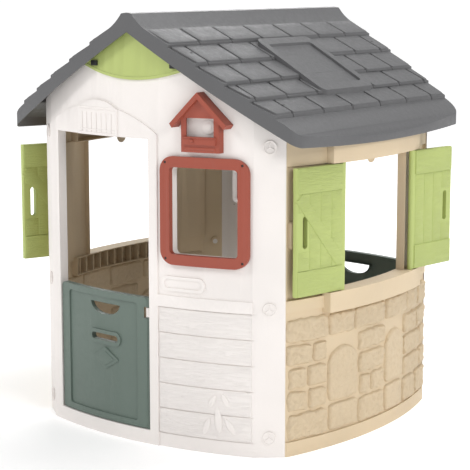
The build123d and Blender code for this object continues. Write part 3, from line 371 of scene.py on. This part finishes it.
def finish_piece(name, bm, place, material_key, body, angle=30):
    """Make an object of a bmesh, with its points put in place and its faces smooth."""
    if place:
        for vert in bm.verts:
            vert.co = place(vert.co)
    bmesh.ops.recalc_face_normals(bm, faces=bm.faces)
    mesh = bpy.data.meshes.new(name)
    bm.to_mesh(mesh)
    bm.free()
    mesh.materials.append(material(material_key))
    mesh.shade_smooth()
    mesh.set_sharp_from_angle(angle=radians(angle))
    piece = bpy.data.objects.new(name, mesh)
    bpy.context.scene.collection.objects.link(piece)
    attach(piece, body)
    return piece


BODY_OF = {node: body for body, nodes in frame["record"]["behaviour"]["bodies"].items() for node in nodes}
FINISH_OF = {
    "front_wall": "white", "back_wall": "white", "front_gable": "lime", "back_gable": "lime",
    "left_wall": "sand", "right_wall": "sand", "left_roof": "slate", "right_roof": "slate",
    "front_door": "sage", "back_door": "sage", "front_door_clip": "white", "back_door_clip": "white",
    "front_window_frame": "terracotta", "back_window_frame": "terracotta", "front_birdhouse": "terracotta",
    "back_birdhouse": "terracotta", "right_front_shutter": "lime", "right_back_shutter": "lime",
    "left_front_shutter": "lime", "left_back_shutter": "lime", "corner_screws": "white",
    "corner_nuts": "sand", "roof_screws": "black", "ridge_bolts": "black", "window_frame_screws": "black",
    "birdhouse_screws": "black", "gable_clips": "black",
}


MERGE = 1e-6
FLAT_ANGLE = radians(0.3)
SHARP_ANGLE = radians(32)


def soften(node):
    """A copy of a frame node with closed seams, flat faces merged and its edges rounded."""
    bm = bmesh.new()
    bm.from_mesh(frame["nodes"][node].data)
    bmesh.ops.remove_doubles(bm, verts=bm.verts, dist=MERGE)
    bmesh.ops.dissolve_limit(bm, angle_limit=FLAT_ANGLE, verts=bm.verts, edges=bm.edges)
    mesh = bpy.data.meshes.new(node + "_moulding")
    bm.to_mesh(mesh)
    bm.free()
    mesh.materials.clear()
    mesh.materials.append(material(FINISH_OF[node]))
    mesh.shade_smooth()
    mesh.set_sharp_from_angle(angle=SHARP_ANGLE)
    piece = bpy.data.objects.new(node + "_moulding", mesh)
    bpy.context.scene.collection.objects.link(piece)
    bevel = piece.modifiers.new("soft edges", "BEVEL")
    bevel.width = sizes().edge_soft
    bevel.segments = 2
    bevel.limit_method = "ANGLE"
    bevel.angle_limit = SHARP_ANGLE
    bevel.harden_normals = True
    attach(piece, BODY_OF[node])
    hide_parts(node)
    return piece


class PLAYHOUSE_OT_mouldings(bpy.types.Operator):
    """Give every moulding of the frame rounded edges and its plastic."""

    bl_idname = "playhouse.mouldings"
    bl_label = "Mouldings"

    def execute(self, context):
        for node in NODES:
            soften(node)
        return {"FINISHED"}


# ---------------------------------------------------------------- stonework

# courses of the side wall: lower edge, upper edge, and each stone's ends from the front to the back
STONE_COURSES = (
    (0.048, 0.130, ((-0.418, -0.258), (-0.106, 0.045), (0.188, 0.300), (0.306, 0.420))),
    (0.138, 0.202, ((-0.418, -0.345), (-0.339, -0.264), (-0.100, -0.040), (-0.034, 0.045), (0.190, 0.345),
                    (0.351, 0.420))),
    (0.210, 0.276, ((-0.414, -0.347), (-0.341, -0.264), (-0.106, 0.045), (0.190, 0.343), (0.349, 0.420))),
    (0.284, 0.348, ((-0.422, -0.325), (-0.318, -0.262), (-0.108, 0.045), (0.192, 0.300), (0.306, 0.420))),
    (0.356, 0.430, ((-0.424, -0.258), (-0.252, -0.136), (-0.129, 0.045), (0.052, 0.208), (0.215, 0.318),
                    (0.325, 0.420))),
)
# tall smooth stones with arched heads: lower edge, crown, ends
ARCH_STONES = ((0.143, 0.318, -0.256, -0.114), (0.143, 0.318, 0.051, 0.184))
FOOT_STONES = ((0.050, 0.137, -0.252, -0.112), (0.048, 0.137, 0.052, 0.180))
ARCH_RISE = 0.030
SMOOTH_STONE_ANGLE = 50

STONE_GRID = 0.005      # spacing of a stone's points
STONE_EDGE = 0.007      # width of the cushion edge
STONE_ROOT = -0.0022    # the stones' backs lie this deep in the wall
STONE_FOOT = -0.0006    # and their faces start this deep at the edge
STONE_NOISE = 38        # waves of the chisel marks to the metre

RIBS = 13
RIB_PITCH = 0.043
RIB_HALF = 0.002
RIB_FOOT = 0.438
RIB_TOP = 0.494
RIB_BACK = -0.027
RIB_FRONT = -0.002
LEDGE_HALF = 0.275
LEDGE_FOOT = 0.4335
LEDGE_TOP = 0.4375
LEDGE_BACK = -0.020
WALL_SKIN = 0.003


def inwards(co):
    """The same relief seen from inside: it stands out of the wall's inner face."""
    return Vector((co.x, co.y, -WALL_SKIN - 0.7 * co.z))


def stone(left, right, low, high, seed, arch=0.0, rough=1.0):
    """One stone: a cushion-edged block with a chiselled face."""
    size = sizes()
    bm = bmesh.new()
    across = max(8, int((right - left) / STONE_GRID))
    up = max(8, int((high - low) / STONE_GRID))
    bmesh.ops.create_grid(bm, x_segments=across, y_segments=up, size=1.0)
    base = bm.verts[:]
    raised = bmesh.ops.extrude_face_region(bm, geom=bm.faces[:], use_keep_orig=True)["geom"]
    top = {v for v in raised if isinstance(v, bmesh.types.BMVert)}
    half = ((right - left) / 2, (high - low) / 2)
    middle = ((right + left) / 2, (high + low) / 2)
    shift = Vector((seed * 3.7, seed * 1.9, 0.0))
    chance = random.Random(seed)
    lean = (chance.uniform(-0.0016, 0.0016), chance.uniform(-0.0012, 0.0016))
    stand = chance.uniform(-0.0012, 0.0012)
    for vert in list(top) + base:
        a, b = vert.co.x, vert.co.y
        edge = min((1 - abs(a)) * half[0], (1 - abs(b)) * half[1])
        pull = 1 - 0.10 * (a * b)**6
        wobble = (0.0015 + 0.0045 * rough) * max(abs(a), abs(b))**3
        at = Vector((a * half[0], b * half[1], 0.0)) * STONE_NOISE + shift
        x = middle[0] + a * half[0] * pull + wobble * noise.noise(at)
        crown = arch * (1 - a * a) if b > 0 else 0.0
        y = middle[1] + b * half[1] * pull + wobble * noise.noise(at + Vector((9, 9, 9)))
        y = y + crown * b - arch * b * (b > 0)
        if vert in top:
            fall = min(1.0, edge / STONE_EDGE)
            fall = fall * fall * (3 - 2 * fall)
            marks = noise.fractal(at * 1.6, 0.9, 2.0, 4) + 0.8 * abs(noise.noise(at * 0.5))
            tilt = (lean[0] * a + lean[1] * b + stand) * rough
            z = STONE_FOOT + (size.stone_rise + tilt) * fall + size.stone_rough * rough * marks * fall
        else:
            z = STONE_ROOT
        vert.co = Vector((x, y, z))
    return bm


class PLAYHOUSE_OT_stonework(bpy.types.Operator):
    """Stones on both faces of the side walls, and the ribs under the sill inside."""

    bl_idname = "playhouse.stonework"
    bl_label = "Stonework"

    def execute(self, context):
        for side, wall in ((1, "right"), (-1, "left")):
            bm = bmesh.new()
            seed = 1
            for low, high, stones in STONE_COURSES:
                for left, right in stones:
                    seed += 1
                    join(bm, stone(left, right, low, high, seed))
            for low, high, left, right in ARCH_STONES:
                seed += 1
                join(bm, stone(left, right, low, high, seed, arch=ARCH_RISE, rough=0.25))
            for low, high, left, right in FOOT_STONES:
                seed += 1
                join(bm, stone(left, right, low, high, seed, rough=0.15))
            finish_piece(wall + "_stones", bm, lambda co: house_side(co, side), "sand.stone", "house",
                         SMOOTH_STONE_ANGLE)
            bm = bmesh.new()
            for low, high, stones in STONE_COURSES:
                for left, right in stones:
                    seed += 1
                    join(bm, stone(left, right, low, high, seed, rough=0.6))
            for low, high, left, right in ARCH_STONES:
                join(bm, stone(left, right, low, high, seed, arch=ARCH_RISE, rough=0.25))
            finish_piece(wall + "_inner_stones", bm, lambda co: house_side(inwards(co), side), "sand.stone",
                         "house", SMOOTH_STONE_ANGLE)
            bm = bmesh.new()
            for index in range(RIBS):
                middle = (index - (RIBS - 1) / 2) * RIB_PITCH
                join(bm, slab(middle - RIB_HALF, middle + RIB_HALF, RIB_FOOT, RIB_TOP, RIB_BACK, RIB_FRONT,
                              soft=0.0006, step=1))
            join(bm, slab(-LEDGE_HALF, LEDGE_HALF, LEDGE_FOOT, LEDGE_TOP, LEDGE_BACK, RIB_FRONT, soft=0.0008))
            finish_piece(wall + "_sill_ribs", bm, lambda co: house_side(co, side), "sand", "house")
        return {"FINISHED"}


# ---------------------------------------------------------------- gable trim

PLANKS = 5
PLANK_BACK = -0.002
PLANK_SOFT = 0.0012
# each leaf: X, height, length, width, direction of its tip in degrees
LEAVES = (
    (0.262, 0.088, 0.060, 0.020, 70),
    (0.300, 0.110, 0.085, 0.024, 95),
    (0.338, 0.092, 0.062, 0.020, 122),
    (0.280, 0.168, 0.048, 0.017, 60),
    (0.322, 0.175, 0.048, 0.017, 118),
)
LEAF_FRONT = 0.0045
LEAF_LIFT = 0.003
STEM_LEFT = 0.2985
STEM_RIGHT = 0.3015
STEM_FOOT = 0.052
STEM_TOP = 0.150
STEM_FRONT = 0.0055
TRANSOM_BARS = (0.976, 0.986, 1.048, 1.056)
TRANSOM_HALF = 0.082
TRANSOM_H = 0.0035
TRANSOM_BACK = 0.008
TRANSOM_FRONT = 0.0115


def leaf(x, z, length, width, angle, front):
    """A plain pointed leaf, raised from the planks, its tip turned by an angle."""
    bm = bmesh.new()
    bmesh.ops.create_uvsphere(bm, u_segments=20, v_segments=12, radius=1.0)
    for vert in bm.verts:
        taper = 1 - 0.55 * max(0.0, vert.co.x)**2
        vert.co = Vector((vert.co.x * length / 2, vert.co.y * width / 2 * taper, vert.co.z * front))
        vert.co.z -= 0.0009 * (1 - min(1.0, abs(vert.co.y) / (width * 0.10))) * (vert.co.z > 0)
    bmesh.ops.rotate(bm, cent=(0, 0, 0), matrix=Matrix.Rotation(radians(angle), 3, "Z"), verts=bm.verts)
    bmesh.ops.translate(bm, vec=(x, z, LEAF_LIFT), verts=bm.verts)
    return bm


class PLAYHOUSE_OT_gable_trim(bpy.types.Operator):
    """Lapped planks, a plain leaf relief and the transom's bars on both gable walls."""

    bl_idname = "playhouse.gable_trim"
    bl_label = "Gable trim"

    def execute(self, context):
        size = sizes()
        pitch = (PLANK_TOP - PLINTH_TOP) / PLANKS
        for side, wall in ((1, "front"), (-1, "back")):
            bm = bmesh.new()
            for row in range(PLANKS):
                low = PLINTH_TOP + row * pitch
                join(bm, slab(SURROUND_RIGHT + 0.004, GABLE_HALF - 0.006, low + 0.003, low + pitch - 0.001,
                              PLANK_BACK, size.plank_rise, soft=PLANK_SOFT,
                              taper=size.plank_rise - PLANK_SOFT))
            finish_piece(wall + "_planks", bm, lambda co: house_gable(co, side), "white.wood", "house")
            bm = bmesh.new()
            for x, z, length, width, angle in LEAVES:
                join(bm, leaf(x, z, length, width, angle, LEAF_FRONT))
            join(bm, slab(STEM_LEFT, STEM_RIGHT, STEM_FOOT, STEM_TOP, 0.0, STEM_FRONT, soft=0.001))
            finish_piece(wall + "_leaf_relief", bm, lambda co: house_gable(co, side), "white", "house")
            bm = bmesh.new()
            for height in TRANSOM_BARS:
                join(bm, slab(DOOR_MID - TRANSOM_HALF, DOOR_MID + TRANSOM_HALF, height, height + TRANSOM_H,
                              TRANSOM_BACK, TRANSOM_FRONT, soft=0.0008))
            finish_piece(wall + "_transom_bars", bm, lambda co: house_gable(co, side), "white", "house")
        return {"FINISHED"}


# ---------------------------------------------------------------- bird houses

BIRD_X = 0.255
PERCH_X = BIRD_X - 0.020
PERCH_Z = 0.976
PERCH_RADIUS = 0.005
TRAY_HALF = 0.050
DISC_X = BIRD_X + 0.014
DISC_Z = 1.016
DISC_RADIUS = 0.021
HUB_RADIUS = 0.013


def knob(x, z, back, front, radius):
    """A small turned knob standing out of a wall."""
    bm = bmesh.new()
    profile = [(0.62, 0.0), (0.62, 0.35), (1.0, 0.55), (1.0, 0.80), (0.70, 1.0), (0.0, 1.04)]
    rim = [bm.verts.new((radius * r, 0.0, back + (front - back) * t)) for r, t in profile]
    for first, second in zip(rim, rim[1:]):
        bm.edges.new((first, second))
    bmesh.ops.spin(bm, geom=bm.verts[:] + bm.edges[:], cent=(0, 0, 0), axis=(0, 0, 1), angle=radians(360),
                   steps=20, use_merge=True, use_duplicate=False)
    bmesh.ops.remove_doubles(bm, verts=bm.verts, dist=1e-6)
    bmesh.ops.holes_fill(bm, edges=[e for e in bm.edges if e.is_boundary], sides=0)
    bmesh.ops.translate(bm, vec=(x, z, 0), verts=bm.verts)
    return bm


class PLAYHOUSE_OT_birdhouse_trim(bpy.types.Operator):
    """Perch knob, tray lip, floor line and the disc behind the hatch of both bird houses."""

    bl_idname = "playhouse.birdhouse_trim"
    bl_label = "Bird house trim"

    def execute(self, context):
        for side, wall in ((1, "front"), (-1, "back")):
            bm = bmesh.new()
            left = BIRD_X - TRAY_HALF
            right = BIRD_X + TRAY_HALF
            join(bm, knob(PERCH_X, PERCH_Z, 0.028, 0.037, PERCH_RADIUS))
            join(bm, slab(left, right, 0.9835, 0.9875, 0.026, 0.0335, soft=0.001))
            join(bm, slab(left, right, 0.948, 0.956, 0.0225, 0.0262, soft=0.0012))
            finish_piece(wall + "_birdhouse_trim", bm, lambda co: house_gable(co, side), "terracotta",
                         "house")
            bm = bmesh.new()
            join(bm, knob(DISC_X, DISC_Z, -0.0005, 0.0032, DISC_RADIUS))
            join(bm, knob(DISC_X, DISC_Z, 0.002, 0.0048, HUB_RADIUS))
            finish_piece(wall + "_bird_disc", bm, lambda co: house_gable(co, side), "white", "house")
        return {"FINISHED"}


# ---------------------------------------------------------------- half doors

# the lozenge's layers: half of its side before it is stretched, and where its face stands
LOZENGE_LAYERS = ((0.032, -0.0008), (0.021, 0.0012))
LOZENGE_BACK = -0.0075
LOZENGE_X = -0.134
LOZENGE_Z = 0.250
LOZENGE_STRETCH = (1.35, 0.80, 1.0)


class PLAYHOUSE_OT_door_trim(bpy.types.Operator):
    """A plain raised lozenge on both half doors."""

    bl_idname = "playhouse.door_trim"
    bl_label = "Door trim"

    def execute(self, context):
        for side, body in ((1, "front_door_body"), (-1, "back_door_body")):
            bm = bmesh.new()
            for half, front in LOZENGE_LAYERS:
                lozenge = slab(-half, half, -half, half, LOZENGE_BACK, front, corner=0.006, soft=0.0012)
                bmesh.ops.rotate(lozenge, cent=(0, 0, 0), matrix=Matrix.Rotation(radians(45), 3, "Z"),
                                 verts=lozenge.verts)
                bmesh.ops.scale(lozenge, vec=LOZENGE_STRETCH, verts=lozenge.verts)
                bmesh.ops.translate(lozenge, vec=(LOZENGE_X, LOZENGE_Z, 0.0), verts=lozenge.verts)
                join(bm, lozenge)
            finish_piece(body.replace("_body", "_lozenge"), bm, lambda co: house_gable(co, side), "sage",
                         body)
        return {"FINISHED"}


# ---------------------------------------------------------------- shutters

# each shutter: sign of its X, sign of its Y, its direction in plan, its body
SHUTTERS = (
    ("right_front_shutter", 1, -1, -101),
    ("right_back_shutter", 1, 1, 82),
    ("left_front_shutter", -1, -1, 249),
    ("left_back_shutter", -1, 1, 79),
)
BOARDS = 4
BOARD_ROOT = 0.002      # the boards' backs lie this deep in the shutter
HAND_SLOT_IN = 0.036    # the hand slot starts this far in from the free edge
HAND_SLOT_HALF = 0.060
BRACE_HALF = 0.019
BRACE_RISE = 0.92       # share of the field's height that the brace climbs


def shutter_boards(face):
    """Boards, battens and the brace on one face of a shutter drawn from its hinge along X."""
    size = sizes()
    out = SHUTTER_HALF
    bm = bmesh.new()
    start, end = 0.012, SHUTTER_W - 0.005
    half_h = SHUTTER_H / 2
    pitch = (end - start) / BOARDS
    slot_edge = SHUTTER_W - HAND_SLOT_IN
    field = half_h - BATTEN_H
    for index in range(BOARDS):
        left = start + index * pitch
        right = left + pitch - size.board_gap
        pieces = [(left, right, -field + 0.002, field - 0.002)]
        if left < slot_edge < right + size.board_gap:
            pieces = [(left, right, -field + 0.002, -HAND_SLOT_HALF),
                      (left, right, HAND_SLOT_HALF, field - 0.002)]
        for a, b, low, high in pieces:
            join(bm, slab(a, b, low, high, out - BOARD_ROOT, out + size.board_rise * 0.55, soft=0.0008,
                          step=1))
    for low, high in ((-half_h + 0.002, -half_h + BATTEN_H), (half_h - BATTEN_H, half_h - 0.002)):
        join(bm, slab(0.010, SHUTTER_W - 0.003, low, high, out - BOARD_ROOT, out + size.board_rise + 0.0012,
                      corner=0.002, soft=0.0014, step=1))
    if face > 0:
        reach = end - start - 0.012
        rise = (2 * field - 0.004) * BRACE_RISE
        length = sqrt(reach**2 + rise**2)
        brace = slab(-length / 2, length / 2, -BRACE_HALF, BRACE_HALF, out - BOARD_ROOT,
                     out + size.board_rise + 0.0008, soft=0.0012, step=1)
        turn = Matrix.Rotation(atan2(rise, reach), 3, "Z")
        bmesh.ops.rotate(brace, cent=(0, 0, 0), matrix=turn, verts=brace.verts)
        bmesh.ops.translate(brace, vec=((start + end) / 2, 0, 0), verts=brace.verts)
        for low in (-1, 1):
            bmesh.ops.bisect_plane(brace, geom=brace.verts[:] + brace.edges[:] + brace.faces[:],
                                   plane_co=(0, low * (field + 0.004), 0), plane_no=(0, low, 0),
                                   clear_outer=True)
        join(bm, brace)
    for vert in bm.verts:
        vert.co = Vector((vert.co.x, face * vert.co.z, vert.co.y))
    return bm


class PLAYHOUSE_OT_shutter_boards(bpy.types.Operator):
    """Boards, battens and a brace on the four shutters."""

    bl_idname = "playhouse.shutter_boards"
    bl_label = "Shutter boards"

    def execute(self, context):
        for name, side, end, angle in SHUTTERS:
            bm = shutter_boards(1)
            join(bm, shutter_boards(-1))
            turn = Matrix.Rotation(radians(angle), 4, "Z")
            move = Matrix.Translation((HOUSE_X + side * HINGE_X, end * HINGE_Y, SHUTTER_MID))
            finish_piece(name + "_boards", bm, lambda co: move @ turn @ co, "lime.wood", name + "_body")
        return {"FINISHED"}


# ---------------------------------------------------------------- roof tiles


def tile(start, end, low, high, seed, edge):
    """One roof tile of the right half between two distances from the ridge and two places along it."""
    size = sizes()
    chance = random.Random(seed)
    slip = chance.uniform(-0.003, 0.002)
    lift = chance.uniform(0.0, 0.0012)
    bm = slab(start + 0.002, end + slip, low, high, -0.003, size.tile_rise + lift, corner=0.009, soft=0.0022,
              step=0.03)
    cut_across(bm, low, high, 0.05, axis=1)
    for vert in bm.verts:
        x, y = vert.co.x, vert.co.y
        if edge:
            inner = low if edge > 0 else high
            outer = high if edge > 0 else low
            limit = edge * (roof_end(min(x, 0.5)) - 0.010)
            y = inner + (y - inner) * (limit - inner) / (outer - inner)
        lifted = (x - start) / (end - start) * TILE_LIFT
        z = RIDGE_UNDER - ROOF_SLOPE * x + TILE_BASE + lifted + vert.co.z
        vert.co = Vector((x, y, z))
    return bm


class PLAYHOUSE_OT_roof_tiles(bpy.types.Operator):
    """Separate tiles in five courses on both roof halves."""

    bl_idname = "playhouse.roof_tiles"
    bl_label = "Roof tiles"

    def execute(self, context):
        size = sizes()
        pitch = 2 * ROOF_END_Y / size.tiles
        for side, half in ((1, "right"), (-1, "left")):
            bm = bmesh.new()
            for row, (start, end) in enumerate(zip(TILE_STARTS, TILE_ENDS)):
                shift = 0.5 if row % 2 else 0.0
                count = size.tiles + row % 2
                for index in range(count):
                    low = -ROOF_END_Y + (index - shift) * pitch + size.tile_gap / 2
                    high = low + pitch - size.tile_gap
                    edge = -1 if index == 0 else (1 if index == count - 1 else 0)
                    low = max(low, -ROOF_END_Y)
                    high = min(high, ROOF_END_Y)
                    join(bm, tile(start, end, low, high, row * 31 + index + (side > 0) * 7, edge))

            def place(co):
                return Vector((HOUSE_X + side * co.x, side * co.y, co.z))

            finish_piece(half + "_tiles", bm, place, "slate", "house")
        return {"FINISHED"}


# ---------------------------------------------------------------- stage

FLOOR_SIZE = 160.0
FLOOR_TONES = ((0.93, 0.93, 0.93, 1.0), (0.96, 0.96, 0.96, 1.0))
FLOOR_PAINTED_GLOW = (0.20, 0.62)       # painted light: the floor's own glow near the house and far from it; the weaker glow near the house is a painted shadow
GLOW_REACH = (1.2, 5.0)         # distances over which the painted glow rises
WORLD_STRENGTH = 0.48
WHITE = (1.0, 1.0, 1.0, 1.0)
# name, place, width of the lamp, power
LIGHTS = (
    ("key", (-3.2, -4.6, 4.8), 1.8, 140.0),
    ("side", (5.0, -2.4, 3.2), 1.6, 90.0),
    ("top", (1.6, 1.8, 5.5), 2.2, 170.0),
    ("back", (-3.5, 4.5, 4.0), 2.5, 90.0),
)
LIGHT_AIM = Vector((0.0, 0.0, 0.6))
CAMERA_PLACE = (HOUSE_X + 3.103, -4.286, 1.465)
CAMERA_DOWN = 9.38
CAMERA_ROUND = 36.06
CAMERA_LENS = 120.2


class PLAYHOUSE_OT_stage(bpy.types.Operator):
    """Pale floor with a painted glow, a white world behind it, soft lights and the camera."""

    bl_idname = "playhouse.stage"
    bl_label = "Stage"

    def execute(self, context):
        scene = context.scene
        bm = bmesh.new()
        bmesh.ops.create_grid(bm, x_segments=1, y_segments=1, size=FLOOR_SIZE)
        mesh = bpy.data.meshes.new("floor")
        bm.to_mesh(mesh)
        bm.free()
        tree = Nodes("pale floor")
        tone = tree.mix(tree.remap(tree.noise(1.5, 3.0), 0.0, 1.0), *FLOOR_TONES)
        tree.link(tone, tree.shader.inputs["Base Color"])
        tree.shader.inputs["Roughness"].default_value = 0.9
        # the floor glows as painted light, dimmer near the house as a painted shadow around it
        tree.shader.inputs["Emission Color"].default_value = WHITE
        reach = tree.make("ShaderNodeVectorMath", operation="LENGTH")
        tree.link(tree.coords, reach.inputs[0])
        painted_glow = tree.remap(reach.outputs["Value"], *FLOOR_PAINTED_GLOW, *GLOW_REACH)
        tree.link(painted_glow, tree.shader.inputs["Emission Strength"])
        mesh.materials.append(tree.material)
        floor = bpy.data.objects.new("floor", mesh)
        scene.collection.objects.link(floor)

        world = bpy.data.worlds.new("studio")
        scene.world = world
        world.use_nodes = True
        background = world.node_tree.nodes["Background"]
        background.inputs["Color"].default_value = WHITE
        background.inputs["Strength"].default_value = WORLD_STRENGTH
        scene.view_settings.view_transform = "Standard"
        for name, place, width, power in LIGHTS:
            data = bpy.data.lights.new(name, "AREA")
            data.shape = "SQUARE"
            data.size = width
            data.energy = power
            lamp = bpy.data.objects.new(name, data)
            lamp.location = place
            aim = LIGHT_AIM - Vector(place)
            lamp.rotation_euler = aim.to_track_quat("-Z", "Y").to_euler()
            scene.collection.objects.link(lamp)

        data = bpy.data.cameras.new("camera")
        data.lens = CAMERA_LENS
        data.sensor_width = 36.0
        data.clip_end = 500.0
        camera = bpy.data.objects.new("camera", data)
        camera.location = CAMERA_PLACE
        camera.rotation_euler = (radians(90 - CAMERA_DOWN), 0.0, radians(CAMERA_ROUND))
        scene.collection.objects.link(camera)
        scene.camera = camera
        return {"FINISHED"}


OPERATORS = (
    PLAYHOUSE_OT_mouldings,
    PLAYHOUSE_OT_stonework,
    PLAYHOUSE_OT_gable_trim,
    PLAYHOUSE_OT_birdhouse_trim,
    PLAYHOUSE_OT_door_trim,
    PLAYHOUSE_OT_shutter_boards,
    PLAYHOUSE_OT_roof_tiles,
    PLAYHOUSE_OT_stage,
)


class PLAYHOUSE_PT_panel(bpy.types.Panel):
    """The playhouse's settings and its pieces."""

    bl_idname = "PLAYHOUSE_PT_panel"
    bl_label = "Playhouse"
    bl_space_type = "VIEW_3D"
    bl_region_type = "UI"
    bl_category = "Playhouse"

    def draw(self, context):
        for group in (context.scene.playhouse_sizes, context.scene.playhouse_colours):
            for key in group.__annotations__:
                self.layout.prop(group, key)
        for operator in OPERATORS:
            self.layout.operator(operator.bl_idname)


CLASSES = (PlayhouseSizes, PlayhouseColours, *OPERATORS, PLAYHOUSE_PT_panel)


def register():
    """Add the settings, operators and panel."""
    for cls in CLASSES:
        bpy.utils.register_class(cls)
    bpy.types.Scene.playhouse_sizes = PointerProperty(type=PlayhouseSizes)
    bpy.types.Scene.playhouse_colours = PointerProperty(type=PlayhouseColours)


def unregister():
    """Take them away again."""
    del bpy.types.Scene.playhouse_sizes
    del bpy.types.Scene.playhouse_colours
    for cls in reversed(CLASSES):
        bpy.utils.unregister_class(cls)


def main():
    """Build everything."""
    register()
    for operator in OPERATORS:
        group, name = operator.bl_idname.split(".")
        getattr(getattr(bpy.ops, group), name)()
    bpy.context.view_layer.update()


if __name__ == "__main__":
    main()
